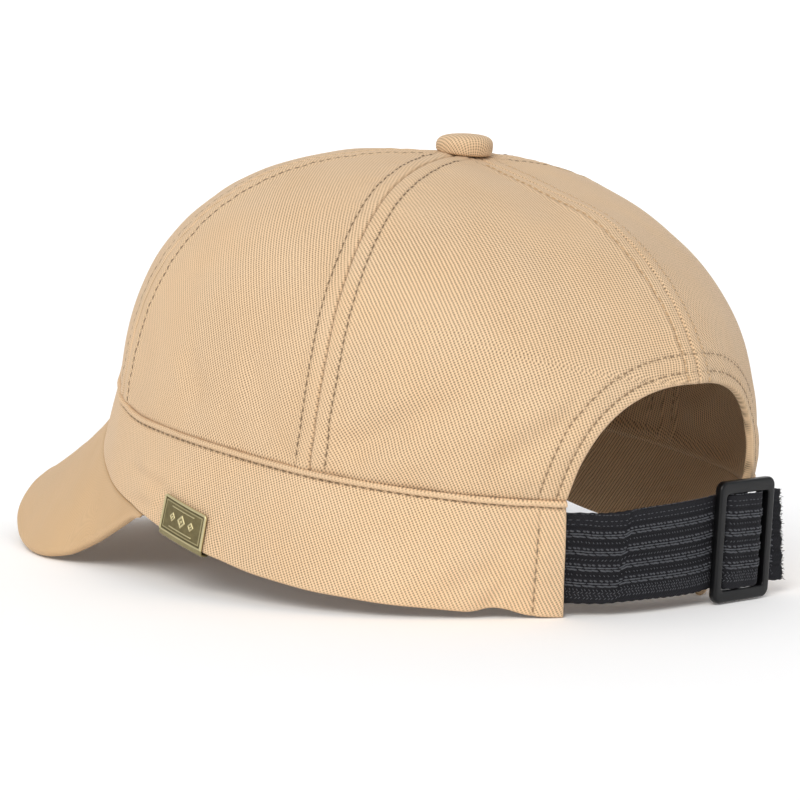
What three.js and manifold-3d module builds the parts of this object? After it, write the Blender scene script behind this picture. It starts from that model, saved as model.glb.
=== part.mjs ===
// A soft cotton-twill cap: five crown panels, a tall band open at the back, a short
// curved peak, a covered button, and a ribbed elastic strap with a three-bar slider.
//
// Millimetres. Inside the "cap" group: +X the wearer's left, +Y the back, +Z up from
// the plane of the band's lower edge. The outer group lays the cap on the ground, where
// it stands on its two band ends and the two low corners of the peak.
import * as THREE from "three";
import Module from "manifold-3d";

// ---- driving dimensions -------------------------------------------------------
const CLOTH = 1.6; // wall of the doubled twill
const PEAK_THICK = 3.0; // board and two cloths
const GAP = 0.35; // clearance between sewn pieces
const OVAL_POWER = 2.29; // squareness of the head oval
const RIM = { back: 86.24, front: 101.9, side: 84.43 }; // lower edge of the band
const LIP = { back: 101.19, front: 98.67, side: 80.87 }; // upper edge of the band
const LIP_Z = { back: 35.65, front: 33.6, side: 33.95 };
const LIP_RISE = 0.057; // how far the band gives way to the front panel (share of a meridian)
const LIP_RISE_FROM = 115; // degrees round from the back
// the band's lower edge climbs towards the peak's root: degrees from the back, height
const RIM_RISE = [
  // t, z
  [0, 0], [60, 0], [74, 0.2], [88, 1.6], [100, 4.7], [112, 8.2],
  [124, 11.6], [136, 17.3], [150, 24.1], [165, 28.2], [180, 29.6],
];
const APEX = { x: -0.53, y: 4.03, z: 120.08 };
const MERIDIAN = { back: 2.501, side: 2.598, front: 2.705 }; // roundness of the profile
const MERIDIAN_SWELL = { back: 0.0155, side: -0.0062, front: 0.0183 };
const CONE_SHARE = { back: 0.147, side: 0.0125, front: 0.064 };
const SEAM_BACK = { at: 0, drift: 0, ridge: 3.6, reach: 28 };
const SEAM_SIDE = { at: 76.1, drift: 3.94, ridge: 0.9, reach: 22 }; // degrees from the back
const SEAM_FRONT = { at: 126.3, drift: -2.16, ridge: 0.9, reach: 22 };
const STRAP_PULL = { at: -38, reach: 34, out: 2.5, fade: 0.17 }; // the right band end is drawn out
const CROWN_HOLE = 3.3; // radius left for the button's shank
const ARCH = { half: 40, foot: 30, rise: 39, power: 2.4 }; // the opening at the back
const BAND_END_LIP = 26.3; // degrees from the back where the band stops, upper edge
const BAND_END_RIM = 18.4; // and lower edge
const BAND_END_FLARE = 5.6; // the strap draws the lower corner outwards
const STRAP = { height: 27.6, thick: 1.1 };
const SLIDER = { x: -31.2, width: 25.5, low: 2.0, high: 38.0, thick: 2.9, side: 2.9, top: 3.9, bottom: 3.6, corner: 2.8, front: 102.0, lean: 0.065, bar: 2.6, barThick: 1.2 };
const BUTTON = { x: -0.15, y: 3.6, radius: 8.6, height: 6.05, shank: 2.4, shankLength: 4.5 };
const DIMPLE = { deep: 0.4, reach: 15 }; // the button draws the top of the crown down
const TAG = { from: 92.0, to: 101.6, height: 11.1, thick: 0.9, flap: 5 };

// peak: outer edge of its top cloth, a row for each ruling; t is the rim angle it starts from
const PEAK_EDGE = [
  // t, x, y, z
  [108, 80.0, -38.5, 5.4],
  [112, 76.8, -45.3, 2.9],
  [116, 73.8, -52.9, -1.2],
  [120, 71.1, -61.6, -6.0],
  [125, 68.8, -71.6, -11.6],
  [130, 67.6, -82.7, -17.0],
  [136, 66.2, -95.4, -20.2],
  [143, 60.2, -110.1, -21.6],
  [151, 49.8, -126.4, -21.0],
  [160, 35.2, -142.9, -17.6],
  [170, 17.3, -155.2, -12.9],
  [180, 0, -161.8, -11.0],
];
const PEAK_CROWN = -0.6; // how far the rulings bow upwards

// free run of the strap, from the left band end to its cut tail: x and y of its middle,
// lean = how much further back the upper edge is than the lower, low and high = its edges,
// skew = how much further left the upper edge is
const STRAP_RUN = [
  // x, y, lean, low, high
  [31.0, 88.6, 6.4, 3.9, 31.5],
  [25.6, 91.7, 5.2, 4.0, 31.5],
  [21.0, 94.6, 3.0, 4.4, 31.9],
  [15.0, 96.7, 1.0, 5.0, 32.5],
  [8.0, 97.8, -0.2, 5.3, 32.8],
  [0.0, 98.3, -1.0, 5.3, 32.9],
  [-8.0, 98.4, -1.6, 5.3, 33.0],
  [-14.5, 98.3, -1.8, 5.5, 33.2],
  [-18.4, 98.2, -1.8, 5.9, 33.5],
  [-21.7, 98.2, -1.8, 6.1, 33.7],
  [-22.7, 99.2, -1.8, 6.1, 33.7],
  [-23.7, 100.8, -1.8, 6.1, 33.7],
  [-25.2, 101.65, -1.8, 6.1, 33.7],
  [-31.2, 101.7, -1.8, 6.1, 33.7],
  [-37.0, 101.65, -1.8, 6.1, 33.7],
  [-38.4, 100.8, -1.8, 6.1, 33.7],
  [-39.4, 99.3, -1.8, 6.1, 33.7],
  [-40.6, 98.25, -1.8, 6.1, 33.7],
  [-44.2, 98.1, -1.8, 6.0, 33.6],
  [-47.6, 98.4, -2.2, 5.7, 33.4, 1.0],
  [-51.6, 98.9, -3.0, 5.6, 33.2, 2.6],
];
// the anchor loop: out of the right band end, behind the bar, round it and back
const ANCHOR_RUN = [
  // x, y, lean, low, high
  [-31.4, 88.6, 6.3, 4.2, 31.8],
  [-30.3, 91.6, 2.4, 5.2, 32.6],
  [-30.6, 94.2, -1.2, 6.1, 33.5],
  [-30.4, 96.0, -1.8, 6.3, 33.5],
  [-29.4, 97.0, -1.8, 6.3, 33.5],
  [-28.9, 98.3, -1.8, 6.3, 33.5],
  [-28.9, 99.6, -1.8, 6.3, 33.5],
  [-29.7, 100.3, -1.8, 6.3, 33.5],
  [-32.7, 100.3, -1.8, 6.3, 33.5],
  [-33.5, 99.6, -1.8, 6.3, 33.5],
  [-33.5, 98.3, -1.8, 6.3, 33.5],
  [-32.9, 97.2, -1.8, 6.3, 33.5],
];

const COLOURS = {
  twill: { color: 0xd9b98c, roughness: 0.92, metalness: 0 },
  elastic: { color: 0x202024, roughness: 0.85, metalness: 0 },
  plastic: { color: 0x1c1c1e, roughness: 0.4, metalness: 0 },
  brass: { color: 0x9a8b55, roughness: 0.45, metalness: 0.9 },
};

// ---- the crown and band surfaces ------------------------------------------------
const RAD = Math.PI / 180;
const clamp = (x, a, b) => Math.min(b, Math.max(a, x));
const smooth = (x) => {
  const c = clamp(x, 0, 1);
  return c * c * (3 - 2 * c);
};
const signedPower = (v, e) => Math.sign(v) * Math.abs(v) ** e;
const fold = (t) => Math.abs(((t + 540) % 360) - 180); // angle from the back, either side

// shares of the back, side and front shapes at t degrees round from the back
function mix(t, table) {
  const c = Math.cos(t * RAD);
  const s2 = Math.sin(t * RAD) ** 2;
  return c > 0 ? c * c * table.back + s2 * table.side : c * c * table.front + s2 * table.side;
}
function oval(t, size) {
  const c = Math.cos(t * RAD);
  const e = 2 / OVAL_POWER;
  return [
    size.side * signedPower(Math.sin(t * RAD), e),
    (c > 0 ? size.back : size.front) * signedPower(c, e),
  ];
}
const lipHeight = (t) => mix(t, LIP_Z);
const rimHeight = (t) => through(RIM_RISE, fold(t), (r) => new THREE.Vector3(0, 0, r[1])).z;
const lipShare = (t) => LIP_RISE * smooth((fold(t) - LIP_RISE_FROM) / (180 - LIP_RISE_FROM));

function crownBase(t, u) {
  const e = 2 / mix(t, MERIDIAN);
  const inward = Math.max(0, Math.cos((Math.PI * u) / 2)) ** e;
  const upward = Math.max(0, Math.sin((Math.PI * u) / 2)) ** e;
  const [x, y] = oval(t, LIP);
  const k = inward * (1 + mix(t, MERIDIAN_SWELL) * 4 * upward * (1 - upward));
  const z0 = lipHeight(t);
  const cone = mix(t, CONE_SHARE);
  return new THREE.Vector3(
    x * k + APEX.x * upward,
    y * k + APEX.y * upward,
    z0 + (APEX.z - z0) * (1 - (1 - cone) * (1 - upward) - cone * inward),
  );
}
function crownNormal(t, u) {
  const w = clamp(u, 0.004, 0.994);
  const a = crownBase(t + 0.1, w).sub(crownBase(t - 0.1, w));
  const b = crownBase(t, w + 0.001).sub(crownBase(t, w - 0.001));
  return b.cross(a).normalize();
}
// the seams stand out as low ridges between flatter panels
function seamRidge(t, u) {
  const fade = smooth((Math.cos((Math.PI * u) / 2) ** 0.8 - 0.3) / 0.3);
  let sum = 0;
  for (const s of [SEAM_BACK, SEAM_SIDE, SEAM_FRONT])
    for (const side of s.at ? [1, -1] : [1]) {
      const d = Math.abs(((t - side * (s.at + s.drift * u) + 540) % 360) - 180);
      sum += s.ridge * clamp(1 - d / s.reach, 0, 1) ** 1.6;
    }
  return sum * fade;
}
function pull(t, u) {
  const d = Math.abs(((t - STRAP_PULL.at + 540) % 360) - 180);
  return STRAP_PULL.out * smooth(1 - d / STRAP_PULL.reach) * smooth(1 - u / STRAP_PULL.fade);
}
function dimple(t, u) {
  const p = crownBase(t, u);
  return DIMPLE.deep * Math.exp(-(((p.x - APEX.x) ** 2 + (p.y - APEX.y) ** 2) / DIMPLE.reach ** 2));
}
function crown(t, u, offset = 0) {
  return crownBase(t, u).addScaledVector(crownNormal(t, u), seamRidge(t, u) + pull(t, u) - dimple(t, u) + offset);
}
const lipPoint = (t) => crown(t, lipShare(t)).add(new THREE.Vector3(0, 0, -1.5 * GAP - CLOTH * Math.max(0, crownNormal(t, lipShare(t)).z)));
function rimPoint(t) {
  const [x, y] = oval(t, RIM);
  const a = fold(t);
  const tuck = Math.max(0, 1 - Math.abs(a - 30.5) / 6); // small pucker near each band end
  return new THREE.Vector3(
    x,
    y + BAND_END_FLARE * smooth((34 - a) / (34 - BAND_END_RIM)),
    rimHeight(t) + 1.6 * smooth(tuck),
  );
}
const rimAngle = (a) => {
  const f = a > 180 ? 360 - a : a;
  const r = f - (BAND_END_LIP - BAND_END_RIM) * (1 - smooth((f - BAND_END_LIP) / (62 - BAND_END_LIP)));
  return a > 180 ? 360 - r : r;
};
const bandPoint = (a, v) => rimPoint(rimAngle(a)).lerp(lipPoint(a), v);
function bandNormal(a, v) {
  const p = bandPoint(a + 0.3, v).sub(bandPoint(a - 0.3, v));
  const q = bandPoint(a, 1).sub(bandPoint(a, 0));
  return q.cross(p).normalize();
}
const band = (a, v, offset = 0) => bandPoint(a, v).addScaledVector(bandNormal(a, v), offset);

// ---- helpers that turn surfaces into closed walls ---------------------------------
function meshFrom(points, faces) {
  let volume = 0;
  for (const [a, b, c] of faces)
    volume += points[a].dot(points[b].clone().cross(points[c]));
  const index = faces.flatMap(([a, b, c]) => (volume < 0 ? [a, c, b] : [a, b, c]));
  const g = new THREE.BufferGeometry();
  g.setAttribute("position", new THREE.Float32BufferAttribute(points.flatMap((p) => [p.x, p.y, p.z]), 3));
  g.setIndex(index);
  g.computeVertexNormals();
  return g;
}
// outer(i, j) and inner(i, j) give the two faces of a wall over an (nu+1) x (nv+1) grid
function wall(nu, nv, outer, inner) {
  const points = [];
  const faces = [];
  for (const side of [outer, inner])
    for (let i = 0; i <= nu; i++) for (let j = 0; j <= nv; j++) points.push(side(i, j));
  const at = (s, i, j) => s * (nu + 1) * (nv + 1) + i * (nv + 1) + j;
  const quad = (a, b, c, d) => faces.push([a, b, c], [a, c, d]);
  for (let i = 0; i < nu; i++)
    for (let j = 0; j < nv; j++) {
      quad(at(0, i, j), at(0, i + 1, j), at(0, i + 1, j + 1), at(0, i, j + 1));
      quad(at(1, i, j), at(1, i, j + 1), at(1, i + 1, j + 1), at(1, i + 1, j));
    }
  for (let i = 0; i < nu; i++) {
    quad(at(0, i, 0), at(1, i, 0), at(1, i + 1, 0), at(0, i + 1, 0));
    quad(at(0, i, nv), at(0, i + 1, nv), at(1, i + 1, nv), at(1, i, nv));
  }
  for (let j = 0; j < nv; j++) {
    quad(at(0, 0, j), at(0, 0, j + 1), at(1, 0, j + 1), at(1, 0, j));
    quad(at(0, nu, j), at(1, nu, j), at(1, nu, j + 1), at(0, nu, j + 1));
  }
  return meshFrom(points, faces);
}
// smooth curve through table rows at parameters t (Hermite with central slopes)
function through(rows, t, value) {
  let i = 0;
  while (i < rows.length - 2 && t > rows[i + 1][0]) i++;
  const slope = (k) => {
    const a = rows[Math.max(0, k - 1)];
    const b = rows[Math.min(rows.length - 1, k + 1)];
    return value(b).sub(value(a)).divideScalar(b[0] - a[0]);
  };
  const h = rows[i + 1][0] - rows[i][0];
  const s = clamp((t - rows[i][0]) / h, 0, 1);
  return value(rows[i])
    .multiplyScalar((1 + 2 * s) * (1 - s) ** 2)
    .addScaledVector(slope(i), h * s * (1 - s) ** 2)
    .addScaledVector(value(rows[i + 1]), s * s * (3 - 2 * s))
    .addScaledVector(slope(i + 1), -h * s * s * (1 - s));
}

// ---- crown panels -------------------------------------------------------------------
const planRadius = (t, u) => Math.hypot(...crownBase(t, u).toArray().slice(0, 2).map((v, k) => v - [APEX.x, APEX.y][k]));
const uTop = (t) => {
  let lo = 0.8;
  let hi = 0.9999;
  for (let i = 0; i < 40; i++) {
    const m = (lo + hi) / 2;
    if (planRadius(t, m) > CROWN_HOLE) lo = m;
    else hi = m;
  }
  return lo;
};
// angle of a seam at height u, drawn back by half the sewing gap
const seamAngle = (seam, side, u, away) =>
  side * (seam.at + seam.drift * u) + (away * Math.asin(Math.min(0.9, (0.5 * GAP) / planRadius(side * seam.at, u)))) / RAD;

function crownPanel(nu, nv, edgeA, edgeB) {
  const place = (i, j, offset) => {
    const angle = (u) => edgeA(u) + ((edgeB(u) - edgeA(u)) * i) / nu;
    const bottom = lipShare(angle(lipShare(angle(0))));
    const u = bottom + (uTop(angle(0.95)) - bottom) * (j / nv);
    return crown(angle(u), u, offset);
  };
  return wall(nu, nv, (i, j) => place(i, j, 0), (i, j) => place(i, j, -CLOTH));
}

// the arch: (t, u) of the point at share k from its foot to its top, side +1 or -1
function archPoint(k, side) {
  const a = k * 90 * RAD;
  const x = side * ARCH.half * Math.cos(a) ** (2 / ARCH.power);
  const z = ARCH.foot + ARCH.rise * Math.sin(a) ** (2 / ARCH.power);
  let t = side * 24 * (1 - k);
  let u = 0.05 + 0.16 * k;
  for (let n = 0; n < 30; n++) {
    const p = crown(t, u);
    const dt = crown(t + 0.05, u).sub(p).divideScalar(0.05);
    const du = crown(t, u + 0.0005).sub(p).divideScalar(0.0005);
    const det = dt.x * du.z - dt.z * du.x;
    const ex = x - p.x;
    const ez = z - p.z;
    t += clamp((ex * du.z - ez * du.x) / det, -4, 4);
    u = clamp(u + clamp((dt.x * ez - dt.z * ex) / det, -0.05, 0.05), 0, 0.5);
  }
  return [t, u];
}
// share of the arch at which it leaves the lip
const archFoot = (() => {
  let k = 0.02;
  while (crown(...archPoint(k, 1)).z < lipHeight(BAND_END_LIP) + 0.02) k += 0.001;
  return k;
})();

function backPanel(side, nu, nArch, nSeam) {
  const rows = [];
  const arch = [];
  for (let k = 0; k <= nArch; k++) {
    const share = archFoot + (1 - archFoot) * (k / nArch);
    arch.push(archPoint(share, side));
  }
  const gapAt = (u) => side * ((0.5 * GAP) / planRadius(0, u) / RAD);
  arch[0][1] = 0;
  arch[nArch][0] = gapAt(arch[nArch][1]);
  const uArch = arch[nArch][1];
  const top = uTop(0);
  const sideAt = (u) => seamAngle(SEAM_SIDE, side, u, -side);
  for (let k = 0; k <= nArch + nSeam; k++) {
    const onArch = k <= nArch;
    const f = onArch ? k / nArch : (k - nArch) / nSeam;
    const inner = onArch ? arch[k] : [gapAt(uArch + (top - uArch) * f), uArch + (top - uArch) * f];
    const join = 0.34;
    const uSide = onArch ? join * f : join + (uTop(sideAt(0.95)) - join) * f;
    rows.push([inner, [sideAt(uSide), uSide]]);
  }
  const place = (i, j, offset) => {
    const [[t0, u0], [t1, u1]] = rows[j];
    const f = i / nu;
    return crown(t0 + (t1 - t0) * f, u0 + (u1 - u0) * f, offset);
  };
  return wall(nu, nArch + nSeam, (i, j) => place(i, j, 0), (i, j) => place(i, j, -CLOTH));
}

// ---- the other pieces -----------------------------------------------------------------
function bandPiece(nu, nv) {
  const from = BAND_END_LIP;
  const to = 360 - BAND_END_LIP;
  const place = (i, j, offset) => band(from + ((to - from) * i) / nu, j / nv, offset);
  return wall(nu, nv, (i, j) => place(i, j, 0), (i, j) => place(i, j, -CLOTH));
}

const peakRows = [
  ...PEAK_EDGE,
  ...PEAK_EDGE.slice(0, -1).reverse().map(([t, x, y, z]) => [360 - t, -x, y, z]),
];
function peakTop(t, w) {
  const edge = through(peakRows, t, (r) => new THREE.Vector3(r[1], r[2], r[3]));
  const rim = rimPoint(t);
  const ruling = edge.clone().sub(rim);
  const length = ruling.length();
  const dir = ruling.clone().normalize();
  const clear = GAP + 0.1 + 0.5 * smooth((126 - fold(t)) / 8); // the steep wings start a little lower
  const start = rim.clone().addScaledVector(dir, Math.min(clear, 0.4 * length));
  const along = rimPoint(t + 0.5).sub(rimPoint(t - 0.5)).add(
    through(peakRows, t + 0.5, (r) => new THREE.Vector3(r[1], r[2], r[3])).sub(
      through(peakRows, t - 0.5, (r) => new THREE.Vector3(r[1], r[2], r[3])),
    ),
  );
  const up = along.cross(ruling).normalize(); // away from the head all along the edge
  const bow = 4 * PEAK_CROWN * w * (1 - w) * clamp(length / 60, 0, 1);
  return { p: start.lerp(edge, w).addScaledVector(up, bow), up };
}
function peakPiece(nu, nv) {
  const from = PEAK_EDGE[0][0];
  const to = 360 - from;
  const place = (i, j, offset) => {
    const { p, up } = peakTop(from + ((to - from) * i) / nu, j / nv);
    const taper = smooth(Math.min(i, nu - i) / 2) * 0.7 + 0.3; // thinner at the two ends
    return p.addScaledVector(up, offset * taper);
  };
  return wall(nu, nv, (i, j) => place(i, j, 0), (i, j) => place(i, j, -PEAK_THICK));
}

// a flat elastic run: each station has a lower and an upper edge point
function ribbon(stations, thick, steps) {
  const lo = new THREE.CatmullRomCurve3(stations.map((s) => s[0]), false, "centripetal");
  const hi = new THREE.CatmullRomCurve3(stations.map((s) => s[1]), false, "centripetal");
  const n = steps * (stations.length - 1);
  const place = (i, j, offset) => {
    const f = i / n;
    const curve = j ? hi : lo;
    const p = curve.getPoint(f);
    const e = 0.25 / n;
    const run = curve.getPoint(Math.min(1, f + e)).sub(curve.getPoint(Math.max(0, f - e)));
    const rise = hi.getPoint(f).sub(lo.getPoint(f));
    return p.addScaledVector(run.cross(rise).normalize(), offset);
  };
  return wall(n, 1, (i, j) => place(i, j, thick / 2), (i, j) => place(i, j, -thick / 2));
}
const station = ([x, y, lean, low, high, skew = 0]) => [
  new THREE.Vector3(x - skew / 2, y - lean / 2, low),
  new THREE.Vector3(x + skew / 2, y + lean / 2, high),
];
// stations sewn inside a band end, following its inner face
function sewn(angles, side, low, high) {
  return angles.map((a) => {
    const angle = side > 0 ? a : 360 - a;
    const v = (z) => (z - rimHeight(angle)) / (lipHeight(angle) - rimHeight(angle));
    const depth = -(CLOTH + GAP + 0.1 + STRAP.thick / 2);
    return [band(angle, v(low), depth), band(angle, v(high), depth)];
  });
}

// rounded rectangle path
function roundRect(path, w, h, r) {
  path.moveTo(-w / 2 + r, -h / 2);
  path.lineTo(w / 2 - r, -h / 2);
  path.absarc(w / 2 - r, -h / 2 + r, r, -Math.PI / 2, 0, false);
  path.lineTo(w / 2, h / 2 - r);
  path.absarc(w / 2 - r, h / 2 - r, r, 0, Math.PI / 2, false);
  path.lineTo(-w / 2 + r, h / 2);
  path.absarc(-w / 2 + r, h / 2 - r, r, Math.PI / 2, Math.PI, false);
  path.lineTo(-w / 2, -h / 2 + r);
  path.absarc(-w / 2 + r, -h / 2 + r, r, Math.PI, 1.5 * Math.PI, false);
  return path;
}
const wasm = await Module();
wasm.setup();
function solidOf(geometry) {
  const g = geometry.index ? geometry.toNonIndexed() : geometry;
  const seen = new Map();
  const verts = [];
  const tris = [];
  const pos = g.getAttribute("position");
  for (let i = 0; i < pos.count; i++) {
    const p = [pos.getX(i), pos.getY(i), pos.getZ(i)];
    const key = p.map((v) => Math.round(v * 1e4)).join();
    if (!seen.has(key)) {
      seen.set(key, verts.length / 3);
      verts.push(...p);
    }
    tris.push(seen.get(key));
  }
  return new wasm.Manifold(
    new wasm.Mesh({ numProp: 3, vertProperties: new Float32Array(verts), triVerts: new Uint32Array(tris) }),
  );
}
function geometryOf(solid) {
  const m = solid.getMesh();
  const g = new THREE.BufferGeometry();
  g.setAttribute("position", new THREE.BufferAttribute(new Float32Array(m.vertProperties), 3));
  g.setIndex(new THREE.BufferAttribute(new Uint32Array(m.triVerts), 1));
  g.computeVertexNormals();
  return g;
}
function sliderPiece() {
  const h = SLIDER.high - SLIDER.low;
  const shape = roundRect(new THREE.Shape(), SLIDER.width, h, SLIDER.corner);
  const hole = new THREE.Path();
  const hw = SLIDER.width / 2 - SLIDER.side;
  const lo = -h / 2 + SLIDER.bottom;
  const hi = h / 2 - SLIDER.top;
  hole.moveTo(-hw, lo);
  hole.lineTo(-hw, hi);
  hole.lineTo(hw, hi);
  hole.lineTo(hw, lo);
  hole.closePath();
  shape.holes.push(hole);
  const frame = new THREE.ExtrudeGeometry(shape, { depth: SLIDER.thick, bevelEnabled: false, curveSegments: 4 });
  const bar = new THREE.BoxGeometry(SLIDER.bar, h - 2, SLIDER.barThick);
  bar.translate(0, 0, SLIDER.barThick / 2 - 0.9);
  const whole = geometryOf(solidOf(frame).add(solidOf(bar)));
  // stand it up: the extrusion's +Z becomes +Y (towards the back)
  whole.applyMatrix4(new THREE.Matrix4().makeBasis(
    new THREE.Vector3(-1, 0, 0), new THREE.Vector3(0, 0, 1), new THREE.Vector3(0, 1, 0)));
  return whole;
}

function buttonPiece() {
  const { radius: r, height: h, shank, shankLength } = BUTTON;
  const profile = [
    [0, -shankLength], [shank, -shankLength], [shank, 0.05],
    [r * 0.8, 0.05], [r * 0.95, 0.7], [r, 1.9], [r * 0.99, h - 2.7], [r * 0.93, h - 1.4],
    [r * 0.72, h - 0.5], [r * 0.36, h - 0.1], [0, h],
  ].map(([x, y]) => new THREE.Vector2(x, y));
  const g = new THREE.LatheGeometry(profile, 20);
  g.rotateX(Math.PI / 2);
  return g;
}

// a U of sheet brass clamped over the band's lower edge
function tagPiece(nu) {
  const { thick: s, height: h, flap } = TAG;
  const near = 0.3;
  // section, outwards from the band's outer face and down from its lower edge: out, down
  const section = [
    [near + s, -h, near, -h],
    [near + s, 0.0, near, 0.0],
    [near + s - 0.3, near + s - 0.2, near, near],
    [-CLOTH - near - s + 0.3, near + s - 0.2, -CLOTH - near, near],
    [-CLOTH - near - s, 0.0, -CLOTH - near, 0.0],
    [-CLOTH - near - s, -flap, -CLOTH - near, -flap],
  ];
  const place = (i, j, k) => {
    const a = TAG.from + ((TAG.to - TAG.from) * i) / nu;
    const out = section[j][k];
    const down = section[j][k + 1];
    const length = bandPoint(a, 1).distanceTo(bandPoint(a, 0));
    return band(a, -down / length, out);
  };
  return wall(nu, section.length - 1, (i, j) => place(i, j, 0), (i, j) => place(i, j, 2));
}

// ---- assembly ----------------------------------------------------------------------------
const cap = new THREE.Group();
function piece(name, geometry, finish, parent = cap) {
  const mesh = new THREE.Mesh(geometry, new THREE.MeshStandardMaterial(finish));
  mesh.name = name;
  parent.add(mesh);
  return mesh;
}
piece("panel_front", crownPanel(14, 11,
  (u) => seamAngle(SEAM_FRONT, 1, u, 1), (u) => 360 + seamAngle(SEAM_FRONT, -1, u, -1)), COLOURS.twill);
for (const [name, side] of [["left", 1], ["right", -1]]) {
  piece(`panel_${name}_side`, crownPanel(8, 11,
    (u) => seamAngle(SEAM_SIDE, side, u, side), (u) => seamAngle(SEAM_FRONT, side, u, -side)), COLOURS.twill);
  piece(`panel_back_${name}`, backPanel(side, 9, 8, 9), COLOURS.twill);
}
piece("band", bandPiece(72, 2), COLOURS.twill);
piece("peak", peakPiece(36, 6), COLOURS.twill);
const button = piece("top_button", buttonPiece(), COLOURS.twill);
button.position.set(BUTTON.x, BUTTON.y, APEX.z - DIMPLE.deep + GAP);
piece("strap", ribbon([...sewn([37, 33.5, 30, 27.6], 1, 3.9, 31.5), ...STRAP_RUN.map(station)], STRAP.thick, 2), COLOURS.elastic);
piece("strap_anchor", ribbon([...sewn([37, 33.5, 30, 27.6], -1, 4.1, 31.7), ...ANCHOR_RUN.map(station)], STRAP.thick, 2), COLOURS.elastic);
const slider = piece("slider", sliderPiece(), COLOURS.plastic);
slider.position.set(SLIDER.x, SLIDER.front - SLIDER.thick, (SLIDER.low + SLIDER.high) / 2);
slider.rotation.x = Math.atan(SLIDER.lean);
piece("tag", tagPiece(6), COLOURS.brass);

// Laid on the ground: pitch the cap until the band and the peak reach equally low.
cap.updateMatrixWorld(true);
const lowest = (mesh, pitch) => {
  const m = new THREE.Matrix4().makeRotationX(-pitch).multiply(mesh.matrixWorld);
  const p = new THREE.Vector3();
  const a = mesh.geometry.getAttribute("position");
  let z = Infinity;
  for (let i = 0; i < a.count; i++) z = Math.min(z, p.fromBufferAttribute(a, i).applyMatrix4(m).z);
  return z;
};
const peakMesh = cap.getObjectByName("peak");
const bandMesh = cap.getObjectByName("band");
let pitchLow = 2 * RAD;
let pitchHigh = 12 * RAD;
for (let i = 0; i < 40; i++) {
  const mid = (pitchLow + pitchHigh) / 2;
  if (lowest(bandMesh, mid) > lowest(peakMesh, mid)) pitchLow = mid;
  else pitchHigh = mid;
}
cap.rotation.x = -pitchLow;

const root = new THREE.Group();
root.add(cap);
root.updateMatrixWorld(true);
const box = new THREE.Box3().setFromObject(root, true);
cap.position.set(-(box.min.x + box.max.x) / 2, -(box.min.y + box.max.y) / 2, -box.min.z);
root.updateMatrixWorld(true);

export default root;
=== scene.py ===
"""Khaki cotton-twill cap: fine surfaces, seams, stitching, ribbed elastic, slider and brass tag.

Lengths in the tables are millimetres in the cap's own axes (+X the wearer's left, +Y the
back, +Z up from the band's lower edge); to_row() lays the cap on the ground, in metres.
"""

import math

import bpy
import numpy as np
from mathutils import Matrix, Vector


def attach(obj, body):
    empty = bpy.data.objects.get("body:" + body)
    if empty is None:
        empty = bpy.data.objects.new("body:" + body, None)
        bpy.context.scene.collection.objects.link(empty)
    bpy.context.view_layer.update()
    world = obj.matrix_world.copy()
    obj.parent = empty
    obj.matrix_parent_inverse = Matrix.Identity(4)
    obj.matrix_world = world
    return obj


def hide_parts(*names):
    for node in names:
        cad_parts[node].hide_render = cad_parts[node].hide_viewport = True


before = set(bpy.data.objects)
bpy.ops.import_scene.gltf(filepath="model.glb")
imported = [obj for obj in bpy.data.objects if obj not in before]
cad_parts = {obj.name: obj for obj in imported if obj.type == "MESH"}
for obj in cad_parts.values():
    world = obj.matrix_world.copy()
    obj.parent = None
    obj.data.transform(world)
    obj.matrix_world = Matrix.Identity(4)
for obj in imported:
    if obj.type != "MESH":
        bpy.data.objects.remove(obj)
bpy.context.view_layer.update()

# ---- driving dimensions ----------------------------------------------------------
CLOTH = 1.5
PEAK_THICK = 3.0
GAP = 0.35
OVAL_POWER = 2.29
RIM = dict(back=86.24, front=101.9, side=84.43)
LIP = dict(back=101.19, front=98.67, side=80.87)
LIP_Z = dict(back=35.65, front=33.6, side=33.95)
LIP_RISE = 0.057
LIP_RISE_FROM = 115.0
RIM_RISE = [  # t, z
    (0, 0), (60, 0), (74, 0.2), (88, 1.6), (100, 4.7), (112, 8.2),
    (124, 11.6), (136, 17.3), (150, 24.1), (165, 28.2), (180, 29.6),
]
APEX = (-0.53, 4.03, 120.08)
MERIDIAN = dict(back=2.501, side=2.598, front=2.705)
MERIDIAN_SWELL = dict(back=0.0155, side=-0.0062, front=0.0183)
CONE_SHARE = dict(back=0.147, side=0.0125, front=0.064)
SEAMS = dict(  # at, drift, ridge, reach
    back=(0.0, 0.0, 3.6, 28.0), side=(76.1, 3.94, 0.9, 22.0), front=(126.3, -2.16, 0.9, 22.0)
)
STRAP_PULL = dict(at=-38.0, reach=34.0, out=2.5, fade=0.17)
CROWN_HOLE = 3.3
ARCH = dict(half=40.0, foot=30.0, rise=39.0, power=2.4)
BAND_END_LIP = 26.3
BAND_END_RIM = 18.4
BAND_END_FLARE = 5.6
STRAP_THICK = 1.1
SLIDER = dict(x=-31.2, width=25.5, low=2.0, high=38.0, thick=2.9, side=2.9, top=3.9, bottom=3.6, corner=2.8,
              front=102.0, lean=0.065, bar=2.6, bar_thick=1.2)
BUTTON = dict(x=-0.15, y=3.6, radius=8.6, height=6.05)
DIMPLE = dict(deep=0.4, reach=15.0)
TAG = dict(first=92.0, last=101.6, height=11.1, thick=0.9, flap=5.0)
PEAK_EDGE = [  # t, x, y, z
    (108, 80.0, -38.5, 5.4), (112, 76.8, -45.3, 2.9), (116, 73.8, -52.9, -1.2),
    (120, 71.1, -61.6, -6.0), (125, 68.8, -71.6, -11.6), (130, 67.6, -82.7, -17.0),
    (136, 66.2, -95.4, -20.2), (143, 60.2, -110.1, -21.6), (151, 49.8, -126.4, -21.0),
    (160, 35.2, -142.9, -17.6), (170, 17.3, -155.2, -12.9), (180, 0.0, -161.8, -11.0),
]
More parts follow.
